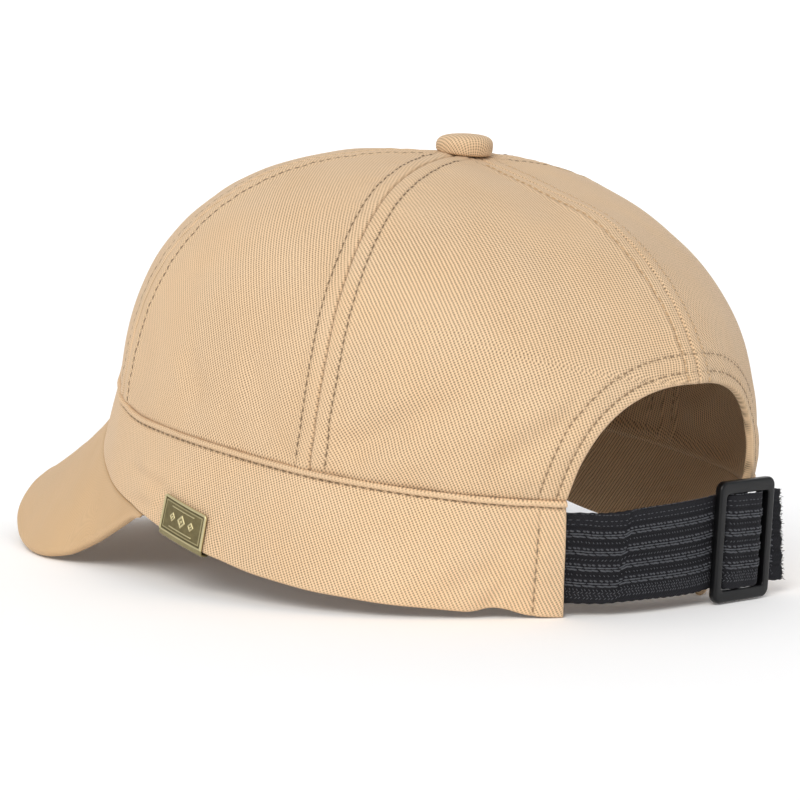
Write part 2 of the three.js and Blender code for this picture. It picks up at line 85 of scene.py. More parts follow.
PEAK_CROWN = -0.6
STRAP_RUN = [  # x, y, lean, low, high, skew
    (31.0, 88.6, 6.4, 3.9, 31.5, 0), (25.6, 91.7, 5.2, 4.0, 31.5, 0), (21.0, 94.6, 3.0, 4.4, 31.9, 0),
    (15.0, 96.7, 1.0, 5.0, 32.5, 0), (8.0, 97.8, -0.2, 5.3, 32.8, 0), (0.0, 98.3, -1.0, 5.3, 32.9, 0),
    (-8.0, 98.4, -1.6, 5.3, 33.0, 0), (-14.5, 98.3, -1.8, 5.5, 33.2, 0), (-18.4, 98.2, -1.8, 5.9, 33.5, 0),
    (-21.7, 98.2, -1.8, 6.1, 33.7, 0), (-22.7, 99.2, -1.8, 6.1, 33.7, 0), (-23.7, 100.8, -1.8, 6.1, 34.0, 0),
    (-25.2, 101.65, -1.8, 6.1, 34.0, 0), (-31.2, 101.7, -1.8, 6.1, 34.0, 0), (-37.0, 101.65, -1.8, 6.1, 34.0, 0),
    (-38.4, 100.8, -1.8, 6.1, 34.0, 0), (-39.4, 99.3, -1.8, 6.1, 33.7, 0), (-40.6, 98.25, -1.8, 6.1, 33.7, 0),
    (-44.2, 98.1, -1.8, 6.0, 33.6, 0), (-47.6, 98.4, -2.2, 5.7, 33.4, 1.0), (-51.6, 98.9, -3.0, 5.6, 33.2, 2.6),
]
ANCHOR_RUN = [  # x, y, lean, low, high, skew
    (-31.4, 88.6, 6.3, 4.2, 31.8, 0), (-30.3, 91.6, 2.4, 5.2, 32.6, 0), (-30.6, 94.2, -1.2, 6.1, 33.5, 0),
    (-30.4, 96.0, -1.8, 6.3, 33.5, 0), (-29.4, 97.0, -1.8, 6.3, 33.5, 0), (-28.9, 98.3, -1.8, 6.3, 33.5, 0),
    (-28.9, 99.6, -1.8, 6.3, 33.5, 0), (-29.7, 100.3, -1.8, 6.3, 33.5, 0), (-32.7, 100.3, -1.8, 6.3, 33.5, 0),
    (-33.5, 99.6, -1.8, 6.3, 33.5, 0), (-33.5, 98.3, -1.8, 6.3, 33.5, 0), (-32.9, 97.2, -1.8, 6.3, 33.5, 0),
]
PITCH = math.radians(6.701375230815757)  # how far the cap leans forward on the ground
PLACE = np.array([-0.5744895935, 26.0807420664, 10.2769041512])

# ---- sewing details ----------------------------------------------------------------
SEAM_ROW = 5.0        # stitch rows beside each crown seam
ALLOWANCE = 6.6       # width of the pressed-open seam allowance inside
HEM_ROWS = (3.3, 8.5)  # stitch rows round the arched opening
HEM = 9.6
END_ROW = 8.6         # vertical row beside each band end
PITCH_CROWN = 2.5
PITCH_LIP = 2.7
LIP_ROLL = 1.75       # height of the rolled upper edge of the band
LIP_ROW = 2.1         # stitch row under the roll
THREAD = 0.23

# soft creases: start and end point, depth (negative = valley), half width, cloth they are in
CREASES = [
    ("crown", (78.6, 36.0, 39.5), (61.8, 69.4, 62.1), -1.7, 4.6),
    ("crown", (57.5, 77.5, 42.5), (39.0, 92.4, 60.5), -1.15, 3.8),
    ("crown", (53.7, 79.4, 63.9), (42.3, 87.6, 67.4), -0.7, 2.9),
    ("crown", (74.0, 46.0, 38.5), (65.0, 66.0, 46.5), 0.5, 5.0),
    ("crown", (79.5, 12.0, 41.0), (77.0, 4.0, 62.0), -0.55, 4.8),
    ("crown", (81.0, -16.0, 44.0), (76.5, -28.0, 58.0), -0.6, 4.4),
    ("crown", (-76.0, 40.0, 42.0), (-60.0, 68.0, 60.0), -1.3, 4.8),
    ("crown", (-54.0, 79.0, 43.0), (-41.0, 90.5, 57.0), -0.9, 3.6),
    ("crown", (-80.0, -10.0, 45.0), (-75.0, -26.0, 60.0), -0.4, 5.0),
    ("crown", (30.0, -92.0, 48.0), (8.0, -93.0, 62.0), -0.4, 6.0),
    ("crown", (-34.0, -90.0, 46.0), (-22.0, -90.0, 68.0), -0.35, 5.0),
    ("band", (77.0, -46.5, 18.3), (81.6, -26.0, 16.2), -0.75, 1.9),
    ("band", (81.5, -25.0, 17.0), (81.4, -30.6, 9.0), -0.55, 1.3),
    ("band", (78.0, -46.0, 9.2), (81.2, -34.0, 10.6), -0.5, 1.4),
    ("band", (49.3, 74.6, 1.0), (46.3, 79.0, 10.5), -0.45, 1.5),
    ("band", (60.0, 66.0, 4.0), (50.0, 76.5, 15.0), -0.5, 3.4),
    ("band", (82.5, 6.0, 6.0), (80.0, 24.0, 20.0), -0.45, 4.8),
    ("band", (-49.3, 74.6, 1.0), (-46.3, 79.0, 9.5), -0.4, 1.6),
    ("band", (-80.5, -38.0, 10.0), (-81.8, -24.0, 20.0), -0.4, 1.8),
    ("band", (-70.0, 46.0, 6.0), (-64.0, 58.0, 20.0), -0.45, 4.4),
]

RAD = math.pi / 180


def to_row(p):
    p = np.asarray(p, float)
    c, s = math.cos(PITCH), math.sin(PITCH)
    out = np.stack([p[..., 0], p[..., 1] * c + p[..., 2] * s, -p[..., 1] * s + p[..., 2] * c], -1)
    return (out + PLACE) / 1000


def smooth(x):
    c = np.clip(x, 0, 1)
    return c * c * (3 - 2 * c)


def unit(v):
    return v / np.maximum(np.linalg.norm(v, axis=-1, keepdims=True), 1e-12)


def fold(t):
    return np.abs((t + 540) % 360 - 180)


def mix(t, table):
    c, s2 = np.cos(t * RAD), np.sin(t * RAD) ** 2
    return np.where(c > 0, c * c * table["back"], c * c * table["front"]) + s2 * table["side"]


def oval(t, size):
    c, s = np.cos(t * RAD), np.sin(t * RAD)
    e = 2 / OVAL_POWER
    return (
        size["side"] * np.sign(s) * np.abs(s) ** e,
        np.where(c > 0, size["back"], size["front"]) * np.sign(c) * np.abs(c) ** e,
    )


def through(rows, t):
    """Hermite curve with central slopes through table rows whose first column is t."""
    rows = np.asarray(rows, float)
    x, y = rows[:, 0], rows[:, 1:]
    t = np.asarray(t, float)
    i = np.clip(np.searchsorted(x, t, side="right") - 1, 0, len(x) - 2)
    k = np.arange(len(x))
    a, b = np.maximum(k - 1, 0), np.minimum(k + 1, len(x) - 1)
    slope = (y[b] - y[a]) / (x[b] - x[a])[:, None]
    h = (x[i + 1] - x[i])[..., None]
    s = np.clip((t - x[i]) / (x[i + 1] - x[i]), 0, 1)[..., None]
    return (
        y[i] * (1 + 2 * s) * (1 - s) ** 2
        + slope[i] * h * s * (1 - s) ** 2
        + y[i + 1] * s * s * (3 - 2 * s)
        - slope[i + 1] * h * s * s * (1 - s)
    )


def lip_height(t):
    return mix(t, LIP_Z)


def rim_height(t):
    return through(RIM_RISE, fold(t))[..., 0]


def lip_share(t):
    return LIP_RISE * smooth((fold(t) - LIP_RISE_FROM) / (180 - LIP_RISE_FROM))


def crown_base(t, u):
    t, u = np.broadcast_arrays(np.asarray(t, float), np.asarray(u, float))
    e = 2 / mix(t, MERIDIAN)
    inward = np.maximum(0, np.cos(np.pi * u / 2)) ** e
    upward = np.maximum(0, np.sin(np.pi * np.maximum(u, 0) / 2)) ** e
    x, y = oval(t, LIP)
    k = inward * (1 + mix(t, MERIDIAN_SWELL) * 4 * upward * (1 - upward))
    z0 = lip_height(t)
    cone = mix(t, CONE_SHARE)
    return np.stack([
        x * k + APEX[0] * upward,
        y * k + APEX[1] * upward,
        z0 + (APEX[2] - z0) * (1 - (1 - cone) * (1 - upward) - cone * inward),
    ], -1)


def crown_normal(t, u):
    w = np.clip(u, 0.004, 0.994)
    a = crown_base(t + 0.1, w) - crown_base(t - 0.1, w)
    b = crown_base(t, w + 0.001) - crown_base(t, w - 0.001)
    return unit(np.cross(b, a))


def seam_ridge(t, u):
    fade = smooth((np.maximum(0, np.cos(np.pi * u / 2)) ** 0.8 - 0.3) / 0.3)
    total = 0
    for at, drift, ridge, reach in SEAMS.values():
        for side in (1, -1) if at else (1,):
            d = np.abs((t - side * (at + drift * u) + 540) % 360 - 180)
            total = total + ridge * np.clip(1 - d / reach, 0, 1) ** 1.6
    return total * fade


def pull(t, u):
    d = np.abs((t - STRAP_PULL["at"] + 540) % 360 - 180)
    return STRAP_PULL["out"] * smooth(1 - d / STRAP_PULL["reach"]) * smooth(1 - u / STRAP_PULL["fade"])


def dimple(t, u):
    p = crown_base(t, u)
    return DIMPLE["deep"] * np.exp(-((p[..., 0] - APEX[0]) ** 2 + (p[..., 1] - APEX[1]) ** 2) / DIMPLE["reach"] ** 2)


def crown(t, u, offset=0.0):
    t, u = np.broadcast_arrays(np.asarray(t, float), np.asarray(u, float))
    h = seam_ridge(t, u) + pull(t, u) - dimple(t, u) + offset
    return crown_base(t, u) + crown_normal(t, u) * np.asarray(h)[..., None]


def lip_point(t):
    share = lip_share(t)
    p = crown(t, share)
    p[..., 2] -= 1.5 * GAP + 1.6 * np.maximum(0, crown_normal(t, share)[..., 2])
    return p


def rim_point(t):
    x, y = oval(t, RIM)
    a = fold(t)
    tuck = np.maximum(0, 1 - np.abs(a - 30.5) / 6)
    return np.stack([
        x, y + BAND_END_FLARE * smooth((34 - a) / (34 - BAND_END_RIM)),
        rim_height(t) + 1.6 * smooth(tuck),
    ], -1)


def rim_angle(a):
    f = np.where(a > 180, 360 - a, a)
    r = f - (BAND_END_LIP - BAND_END_RIM) * (1 - smooth((f - BAND_END_LIP) / (62 - BAND_END_LIP)))
    return np.where(a > 180, 360 - r, r)


def band_point(a, v):
    p, q = rim_point(rim_angle(a)), lip_point(a)
    return p + (q - p) * np.asarray(v)[..., None]


def band_normal(a, v):
    p = band_point(a + 0.3, v) - band_point(a - 0.3, v)
    q = band_point(a, np.ones_like(v)) - band_point(a, np.zeros_like(v))
    return unit(np.cross(q, p))


def band(a, v, offset=0.0):
    a, v = np.broadcast_arrays(np.asarray(a, float), np.asarray(v, float))
    return band_point(a, v) + band_normal(a, v) * (np.asarray(offset) + np.zeros(a.shape))[..., None]


def plan_radius(t, u):
    p = crown_base(t, u)
    return np.hypot(p[..., 0] - APEX[0], p[..., 1] - APEX[1])


def u_top(t, radius=CROWN_HOLE):
    t = np.asarray(t, float)
    lo, hi = np.full(t.shape, 0.5), np.full(t.shape, 0.9999)
    for _ in range(40):
        m = (lo + hi) / 2
        out = plan_radius(t, m) > radius
        lo, hi = np.where(out, m, lo), np.where(out, hi, m)
    return lo


def seam_at(name, side, u):
    at, drift = SEAMS[name][:2]
    return side * (at + drift * np.asarray(u, float))


# ---- the arch of the back opening --------------------------------------------------
def arch_tu(k, side):
    """(t, u) on the crown of the point at share k from the arch's foot to its top."""
    k = np.asarray(k, float)
    a = k * 90 * RAD
    x = side * ARCH["half"] * np.maximum(np.cos(a), 0) ** (2 / ARCH["power"])
    z = ARCH["foot"] + ARCH["rise"] * np.sin(a) ** (2 / ARCH["power"])
    t, u = side * 24 * (1 - k), 0.05 + 0.16 * k
    for _ in range(30):
        p = crown(t, u)
        dt = (crown(t + 0.05, u) - p) / 0.05
        du = (crown(t, u + 0.0005) - p) / 0.0005
        det = dt[..., 0] * du[..., 2] - dt[..., 2] * du[..., 0]
        ex, ez = x - p[..., 0], z - p[..., 2]
        t = t + np.clip((ex * du[..., 2] - ez * du[..., 0]) / det, -4, 4)
        u = np.clip(u + np.clip((dt[..., 0] * ez - dt[..., 2] * ex) / det, -0.05, 0.05), 0, 0.5)
    return t, u


def arch_foot():
    k = np.arange(0.02, 0.4, 0.001)
    z = crown(*arch_tu(k, 1))[:, 2]
    return k[np.argmax(z >= lip_height(np.array(BAND_END_LIP)) + 0.02)]


FOOT = arch_foot()


# ---- curves that the sewing follows -------------------------------------------------
def length_along(p):
    return np.concatenate([[0], np.cumsum(np.linalg.norm(np.diff(p, axis=0), axis=1))])


def seam_curve(name, side, n=300):
    low = arch_tu(np.array([1.0]), 1)[1][0] if name == "back" else 0.0
    u = low + (u_top(np.array(side * SEAMS[name][0]), CROWN_HOLE) - low) * np.linspace(0, 1, n)
    t = seam_at(name, side, u)
    return crown(t, u), t, u


SEAM_CURVES = [seam_curve("back", 1)] + [seam_curve(n, s) for n in ("side", "front") for s in (1, -1)]
k_all = FOOT + (1 - FOOT) * np.linspace(0, 1, 260)
_l, _r = arch_tu(k_all, 1), arch_tu(k_all, -1)
ARCH_T = np.concatenate([_l[0], _r[0][::-1][1:]])
ARCH_U = np.concatenate([_l[1], _r[1][::-1][1:]])
ARCH_CURVE = crown(ARCH_T, ARCH_U)
lip_angles = np.linspace(BAND_END_LIP, 360 - BAND_END_LIP, 1400)
LIP_CURVE = lip_point(lip_angles)


def nearest(points, curve):
    """Distance to a polyline and the length along it of the nearest point."""
    flat = points.reshape(-1, 3)
    along = length_along(curve)
    a, ab = curve[:-1], np.diff(curve, axis=0)
    ll = (ab ** 2).sum(1)
    dist, pos = np.empty(len(flat)), np.empty(len(flat))
    for i in range(0, len(flat), 4000):
        q = flat[i:i + 4000]
        j = ((q[:, None] - curve[None]) ** 2).sum(2).argmin(1)
        best = np.full(len(q), 1e9)
        where = np.zeros(len(q))
        for step in (-1, 0):
            m = np.clip(j + step, 0, len(a) - 1)
            f = np.clip(((q - a[m]) * ab[m]).sum(1) / ll[m], 0, 1)
            d = np.linalg.norm(q - a[m] - ab[m] * f[:, None], axis=1)
            better = d < best
            best = np.where(better, d, best)
            where = np.where(better, along[m] + f * (along[m + 1] - along[m]), where)
        dist[i:i + 4000], pos[i:i + 4000] = best, where
    return dist.reshape(points.shape[:-1]), pos.reshape(points.shape[:-1])


WAVES = [  # direction x, y, z, wavelength, phase
    (0.8, 0.5, 0.33, 61, 0.3), (-0.4, 0.8, 0.45, 47, 1.7), (0.2, -0.5, 0.84, 39, 4.1), (0.9, -0.2, -0.4, 33, 2.2),
    (-0.6, -0.6, 0.52, 27, 5.2), (0.1, 0.95, -0.3, 22, 0.9), (0.5, 0.1, 0.86, 18.5, 3.4), (-0.85, 0.3, 0.43, 15.5, 2.7),
    (0.35, -0.75, -0.56, 13, 1.1), (0.65, 0.65, 0.4, 11, 4.8),
]


def ripple(points, scale=1.0, start=0):
    """Slow unevenness of cloth: a sum of plane waves, about +-1."""
    total = 0
    for i, (x, y, z, wl, ph) in enumerate(WAVES[start:]):
        d = np.array([x, y, z]) / math.sqrt(x * x + y * y + z * z)
        total = total + np.sin(2 * np.pi * scale * (points @ d) / wl + ph) * (wl / 61) ** 0.5
    return total / 3.2


def bell(x):
    return np.exp(-x * x)


def crease_height(cloth, points):
    total = np.zeros(points.shape[:-1])
    for name, a, b, depth, wide in CREASES:
        if name != cloth:
            continue
        a, b = np.array(a, float), np.array(b, float)
        ab = b - a
        f = ((points - a) @ ab) / (ab @ ab)
        d = np.linalg.norm(points - (a + np.clip(f, 0, 1)[..., None] * ab), axis=-1)
        taper = smooth((f + 0.15) / 0.4) * smooth((1.15 - f) / 0.4)
        total = total + depth * taper * (bell(d / wide) - 0.35 * bell((d - 1.9 * wide) / wide))
    return total


def crown_relief(points):
    """Height, groove shade and inner build-up of the crown cloth at points of its surface."""
    h = 0.24 * ripple(points) + crease_height("crown", points)
    ahead = 0.686 * (points[..., 0] - APEX[0]) - 0.727 * (points[..., 1] - APEX[1])
    aside = 0.727 * (points[..., 0] - APEX[0]) + 0.686 * (points[..., 1] - APEX[1])
    top = smooth((points[..., 2] - 95) / 15)
    h = h + top * (0.45 * bell((ahead - 34) / 15) * bell(aside / 42) - 1.3 * bell((ahead - 9) / 11) * bell((aside + 19) / 15))
    shade = np.zeros(h.shape)
    wear = np.maximum(0.75 * smooth((points[..., 2] - 97 + 4 * ripple(points, 1.0, 1)) / 22),
                      0.6 * smooth((-points[..., 1] - 8 + 5 * ripple(points, 1.0, 1)) / 34))
    inner = np.zeros(h.shape)
    for n, (curve, _, _) in enumerate(SEAM_CURVES):
        d, along = nearest(points, curve)
        near = d < 16
        wobble = np.sin(2 * np.pi * along / 7.7 + 2.1 * n) + 0.7 * np.sin(2 * np.pi * along / 4.9 + n)
        h = h + np.where(near, 0.42 * smooth((7.4 - d) / 2.2), 0)
        h = h + np.where(near, 0.07 * wobble * bell((d - 2.6) / 2.2) + 0.10 * wobble * bell((d - 7.2) / 2.6), 0)
        h = h - 0.62 * bell(d / 0.4) - 0.2 * bell(d / 1.3) - 0.36 * bell((d - SEAM_ROW) / 0.6)
        dash = 0.72 + 0.28 * np.cos(2 * np.pi * along / 2.1 + n)
        shade = np.maximum(shade, 0.95 * dash * bell(d / 0.3))
        shade = np.maximum(shade, 0.55 * bell((d - SEAM_ROW) / 0.42))
        wear = np.maximum(wear, 0.5 * bell((d - 1.6) / 0.8) + 0.25 * bell((d - 6.4) / 0.8))
        inner = np.maximum(inner, 0.7 * (d < ALLOWANCE))
    d, along = nearest(points, ARCH_CURVE)
    h = h + 0.35 * smooth((HEM + 1.2 - d) / 1.8)
    for row, depth in zip(HEM_ROWS, (0.34, 0.36)):
        h = h - depth * bell((d - row) / 0.62)
        shade = np.maximum(shade, 0.5 * bell((d - row) / 0.42))
    h = h + 0.07 * np.sin(2 * np.pi * along / 5.6) * bell((d - 6) / 2.4)
    wear = np.maximum(wear, 0.8 * bell(d / 1.1))
    inner = np.maximum(inner, 0.7 * (d < HEM))
    drop = 0.75 - np.sqrt(np.maximum(0, 0.75 ** 2 - (0.75 - np.minimum(d, 0.75)) ** 2))
    d, along = nearest(points, LIP_CURVE)
    swell = 0.16 + 0.1 * np.sin(along / 5.3) + 0.08 * np.sin(along / 2.9 + 1)
    h = h - 0.9 * (1 - smooth(d / 1.7)) + swell * bell((d - 6.0) / 3.5)
    shade = np.maximum(shade, 0.7 * bell(d / 0.95))
    return h, shade, wear, inner, drop


# ---- flat cloth coordinates: s to the viewer's right and r upwards, seen from outside ----
def flatten(points, first, rounds=900):
    """Lays a coarse grid of surface points flat with little stretch."""
    ni, nj = first.shape[:2]
    flat = points.reshape(-1, 3)
    links = []
    i, j = (x.ravel() for x in np.meshgrid(np.arange(ni), np.arange(nj), indexing="ij"))
    for di, dj in ((1, 0), (0, 1), (1, 1), (1, -1)):
        for parity in (0, 1):
            ok = (i + di < ni) & (j + dj < nj) & (j + dj >= 0) & ((i if di else j) % 2 == parity)
            a, b = i[ok] * nj + j[ok], (i[ok] + di) * nj + j[ok] + dj
            links.append((a, b, np.linalg.norm(flat[a] - flat[b], axis=1)))
    q = first.reshape(-1, 2).copy()
    for k in range(rounds):
        ease = 0.45 if k < rounds * 0.7 else 0.25
        for a, b, rest in links:
            v = q[b] - q[a]
            d = np.maximum(np.linalg.norm(v, axis=1), 1e-9)
            move = v * (ease * (d - rest) / d)[:, None]
            q[a] += move
            q[b] -= move
    return q.reshape(ni, nj, 2)


def first_guess(points, mid):
    """Rows kept at their true lengths, hung on the column mid."""
    s = np.concatenate([np.zeros((1, points.shape[1])), np.cumsum(np.linalg.norm(np.diff(points, axis=0), axis=2), 0)])
    r = np.concatenate([[0], np.cumsum(np.linalg.norm(np.diff(points[mid], axis=0), axis=1))])
    return np.stack([s[mid][None] - s, np.broadcast_to(r[None], s.shape)], -1)


PLUMB = np.array([0, -math.sin(PITCH), math.cos(PITCH)])


class Sheet:
    """Flat coordinates of a piece over its shares f and g, turned so that `right` is +s near one node."""

    def __init__(self, f, g, points, first, node, right, rounds=900):
        q = flatten(points, first, rounds)
        i, j = node
        pf, pg = points[i + 1, j] - points[i - 1, j], points[i, j + 1] - points[i, j - 1]
        qf, qg = q[i + 1, j] - q[i - 1, j], q[i, j + 1] - q[i, j - 1]
        m = np.array([[pf @ pf, pf @ pg], [pf @ pg, pg @ pg]])
        a, b = np.linalg.solve(m, np.array([pf @ right, pg @ right]))
        c, s = unit(a * qf + b * qg)
        self.q = (q - q[i, j]) @ np.array([[c, -s], [s, c]])
        self.f, self.g = f, g

    def at(self, f, g):
        n = len(self.g)
        rows = through(np.column_stack([self.f, self.q.reshape(len(self.f), -1)]), f)
        rows = rows.reshape(len(f), n, 2).transpose(1, 0, 2).reshape(n, -1)
        return through(np.column_stack([self.g, rows]), g).reshape(len(g), len(f), 2).transpose(1, 0, 2)


def closest_node(t, u, want):
    d = np.abs(t - want[0]) / 60 + np.abs(u - want[1])
    i, j = np.unravel_index(d.argmin(), d.shape)
    return min(max(i, 1), t.shape[0] - 2), min(max(j, 1), t.shape[1] - 2)


# ---- meshes ----------------------------------------------------------------------------
MATERIALS = {}
SHOWN = []


def make_mesh(name, verts, quads, slot, replaces=(), cloth=None, painted_shade_and_wear=None, material=None, tris=None, flat=False):
    me = bpy.data.meshes.new(name)
    me.vertices.add(len(verts))
    me.vertices.foreach_set("co", to_row(verts).astype(np.float32).ravel())
    faces = np.asarray(quads, np.int32)
    nt = 0 if tris is None else len(tris)
    me.loops.add(faces.size + 3 * nt)
    index = faces.ravel()
    starts = np.arange(len(faces)) * 4
    if nt:
        index = np.concatenate([index, np.asarray(tris, np.int32).ravel()])
        starts = np.concatenate([starts, faces.size + 3 * np.arange(nt)])
    me.loops.foreach_set("vertex_index", index)
    me.polygons.add(len(starts))
    me.polygons.foreach_set("loop_start", starts.astype(np.int32))
    me.polygons.foreach_set("use_smooth", np.full(len(starts), not flat))
    me.update(calc_edges=True)
    me.validate()
    # the second attribute carries painted shade, wear and a flag for the inner face
    for label, values in (("cloth", cloth), ("painted_shade_and_wear", painted_shade_and_wear)):
        if values is None:
            continue
        v = np.zeros((len(verts), 3), np.float32)
        v[:, : values.shape[1]] = values
        me.attributes.new(label, "FLOAT_VECTOR", "POINT").data.foreach_set("vector", v.ravel())
    ob = bpy.data.objects.new(name, me)
    bpy.context.scene.collection.objects.link(ob)
    me.materials.append(MATERIALS[material or slot])
    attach(ob, "root")
    if replaces:
        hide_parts(*replaces)
    SHOWN.append(ob)
    return ob


def wall_mesh(name, outer, inner, slot, cloth, painted_shade_and_wear, **more):
    """A closed wall between two grids of points; marks are for the outer face, 0 inside."""
    ni, nj = outer.shape[:2]
    n = ni * nj
    verts = np.concatenate([outer.reshape(-1, 3), inner.reshape(-1, 3)])
    at = np.arange(n).reshape(ni, nj)
    top = np.stack([at[:-1, :-1], at[1:, :-1], at[1:, 1:], at[:-1, 1:]], -1).reshape(-1, 4)
    a = outer[1:, :-1] - outer[:-1, :-1]
    b = outer[:-1, 1:] - outer[:-1, :-1]
    facing = (np.cross(a, b) * (outer - inner)[:-1, :-1]).sum(-1)
    if facing.sum() < 0:
        top = top[:, ::-1]
    quads = [top, (top + n)[:, ::-1]]

    def edge(line, forward):
        q = np.stack([line[:-1], line[:-1] + n, line[1:] + n, line[1:]], -1)
        return q if forward else q[:, ::-1]
    forward = facing.sum() >= 0
    quads += [edge(at[:, 0], forward), edge(at[-1, :], forward), edge(at[::-1, -1], forward), edge(at[0, ::-1], forward)]
    c = np.concatenate([cloth.reshape(n, -1)] * 2)
    m = np.concatenate([painted_shade_and_wear.reshape(n, -1), painted_shade_and_wear.reshape(n, -1) * 0])
    m = np.concatenate([m, np.zeros((2 * n, max(0, 3 - m.shape[1])))], 1)
    m[n:, 2] = 1
    return make_mesh(name, verts, np.concatenate(quads), slot, cloth=c, painted_shade_and_wear=m, **more)


def spread(width, first=(), last=(), step=1.3):
    """Shares 0..1 across a width, close together near the ends named in first and last."""
    a = [x for x in first if x < width / 2]
    b = [width - x for x in last if x < width / 2][::-1]
    lo, hi = (a[-1] if a else 0), (b[0] if b else width)
    n = max(2, int(round((hi - lo) / step)))
    mid = lo + (hi - lo) * np.arange(1, n) / n
    rows = sorted(set([0.0, width] + list(a) + list(mid) + list(b)))
    return np.array(rows) / width


FINE = (0.15, 0.35, 0.6, 0.9, 1.25, 1.7, 2.2, 2.8, 3.4, 3.9, 4.3, 4.65, 5.0, 5.35, 5.7, 6.2, 6.8, 7.5, 8.3, 9.2)
LIPFINE = (0.3, 0.6, 0.9, 1.3, 1.8, 2.5, 3.4, 4.5)
ARCHFINE = (0.06, 0.16, 0.32, 0.54, 0.8, 1.2, 1.7, 2.3, 2.7, 3.0, 3.3, 3.6, 3.95, 4.5, 5.3, 6.2, 7.1, 7.7, 8.1, 8.5, 8.9, 9.3, 9.9, 10.7, 11.6)


def crown_piece(name, place, fi, fj, sheet):
    """place(f, g) gives (t, u) at the shares f across and g up."""
    f, g = np.meshgrid(fi, fj, indexing="ij")
    t, u = place(f, g)
    base, normal = crown(t, u), crown_normal(t, u)
    h, shade, wear, inner, drop = crown_relief(base)
    outer = base + normal * (h - drop)[..., None]
    core = np.minimum(h, 0.3)
    back = base + normal * (np.minimum(core - CLOTH - inner, -CLOTH - inner + 0.0) + drop * (CLOTH + inner) / CLOTH)[..., None]
    # at a seam the two walls meet, so that no light shows between the panels
    flat = sheet.at(fi, fj)
    # the lower edge is turned down inside the band
    a = np.where(t[:, 0] < 0, t[:, 0] + 360, t[:, 0])
    down = unit(band_point(a, np.zeros(a.shape)) - band_point(a, np.ones(a.shape)))
    out = band_normal(a, np.full(a.shape, 0.9))
    tail_o, tail_i = [], []
    for step, depth in ((0.9, -1.62), (2.0, -1.75), (3.4, -1.75)):
        p = LIP_OF(a) + down * step
        tail_o.append(p + out * depth)
        tail_i.append(p + out * (depth - 0.75))
    outer = np.concatenate([np.stack(tail_o[::-1], 1), outer], 1)
    back = np.concatenate([np.stack(tail_i[::-1], 1), back], 1)
    pad = lambda v, value=None: np.concatenate([np.repeat(v[:, :1] * (1 if value is None else 0) + (0 if value is None else value), 3, 1), v], 1)
    painted_shade_and_wear = np.stack([pad(shade, 0.6), pad(wear, 0.0)], -1)
    cloth = np.stack([pad(flat[..., 0]), pad(flat[..., 1])], -1)
    cloth[:, :3, 1] -= np.array([3.4, 2.0, 0.9])
    return wall_mesh(name, outer, back, "twill", cloth, painted_shade_and_wear, replaces=(name,))


def LIP_OF(a):
    return lip_point(np.asarray(a, float))


def gore(name, edge_a, edge_b, width, reference):
    """A panel between two seams; edges are functions of u giving t."""
    height = 150.0

    def place(f, g):
        def angle(u):
            return edge_a(u) + (edge_b(u) - edge_a(u)) * f
        low = lip_share(angle(lip_share(angle(np.zeros(f.shape)))))
        top = u_top(angle(np.full(f.shape, 0.95)))
        u = low + (top - low) * g
        return angle(u), u

    n = 26
    gf, gg = np.linspace(0, 1, n), np.linspace(0, 1, n)
    f, g = np.meshgrid(gf, gg, indexing="ij")
    t, u = place(f, g)
    p = crown(t, u)
    node = closest_node(t, u, reference)
    right = unit(np.cross(PLUMB, crown_normal(t[node], u[node])))
    sheet = Sheet(gf, gg, p, first_guess(p, n // 2), node, right)
    fi = spread(width, FINE, FINE, 1.35)
    fj = spread(height, LIPFINE, (), 1.35)
    return crown_piece(name, place, fi, fj, sheet)


def back_panel(name, side, n_arch, n_seam, reference):
    k = FOOT + (1 - FOOT) * np.linspace(0, 1, n_arch + 1)
    at, au = arch_tu(k, side)
    au[0] = 0
    at[-1] = 0
    top = float(u_top(np.array(0.0)))
    u_arch = au[-1]
    f_rows = np.concatenate([np.linspace(0, 1, n_arch + 1), np.linspace(0, 1, n_seam + 1)[1:]])
    on_arch = np.arange(len(f_rows)) <= n_arch
    inner_t = np.concatenate([at, np.zeros(n_seam)])
    inner_u = np.concatenate([au, u_arch + (top - u_arch) * np.linspace(0, 1, n_seam + 1)[1:]])
    join = 0.34
    side_top = float(u_top(np.array(float(seam_at("side", side, 0.95)))))
    side_u = np.where(on_arch, join * f_rows, join + (side_top - join) * f_rows)
    side_t = seam_at("side", side, side_u)
    rows = np.arange(len(f_rows)) / (len(f_rows) - 1)

    def place(f, g):
        it, iu = np.interp(g, rows, inner_t), np.interp(g, rows, inner_u)
        st, su = np.interp(g, rows, side_t), np.interp(g, rows, side_u)
        return it + (st - it) * f, iu + (su - iu) * f

    n = 28
    knee = n_arch / (n_arch + n_seam)
    gf, gg = np.linspace(0, 1, n), np.concatenate([np.linspace(0, knee, 14), np.linspace(knee, 1, 16)[1:]])
    f, g = np.meshgrid(gf, gg, indexing="ij")
    t, u = place(f, g)
    p = crown(t, u)
    node = closest_node(t, u, reference)
    right = unit(np.cross(PLUMB, crown_normal(t[node], u[node])))
    start = first_guess(p, n // 2)
    sheet = Sheet(gf, gg, p, start * np.array([side, 1]), node, right)
    fi = spread(96.0, ARCHFINE, FINE, 1.3)
    return crown_piece(name, place, fi, rows, sheet)


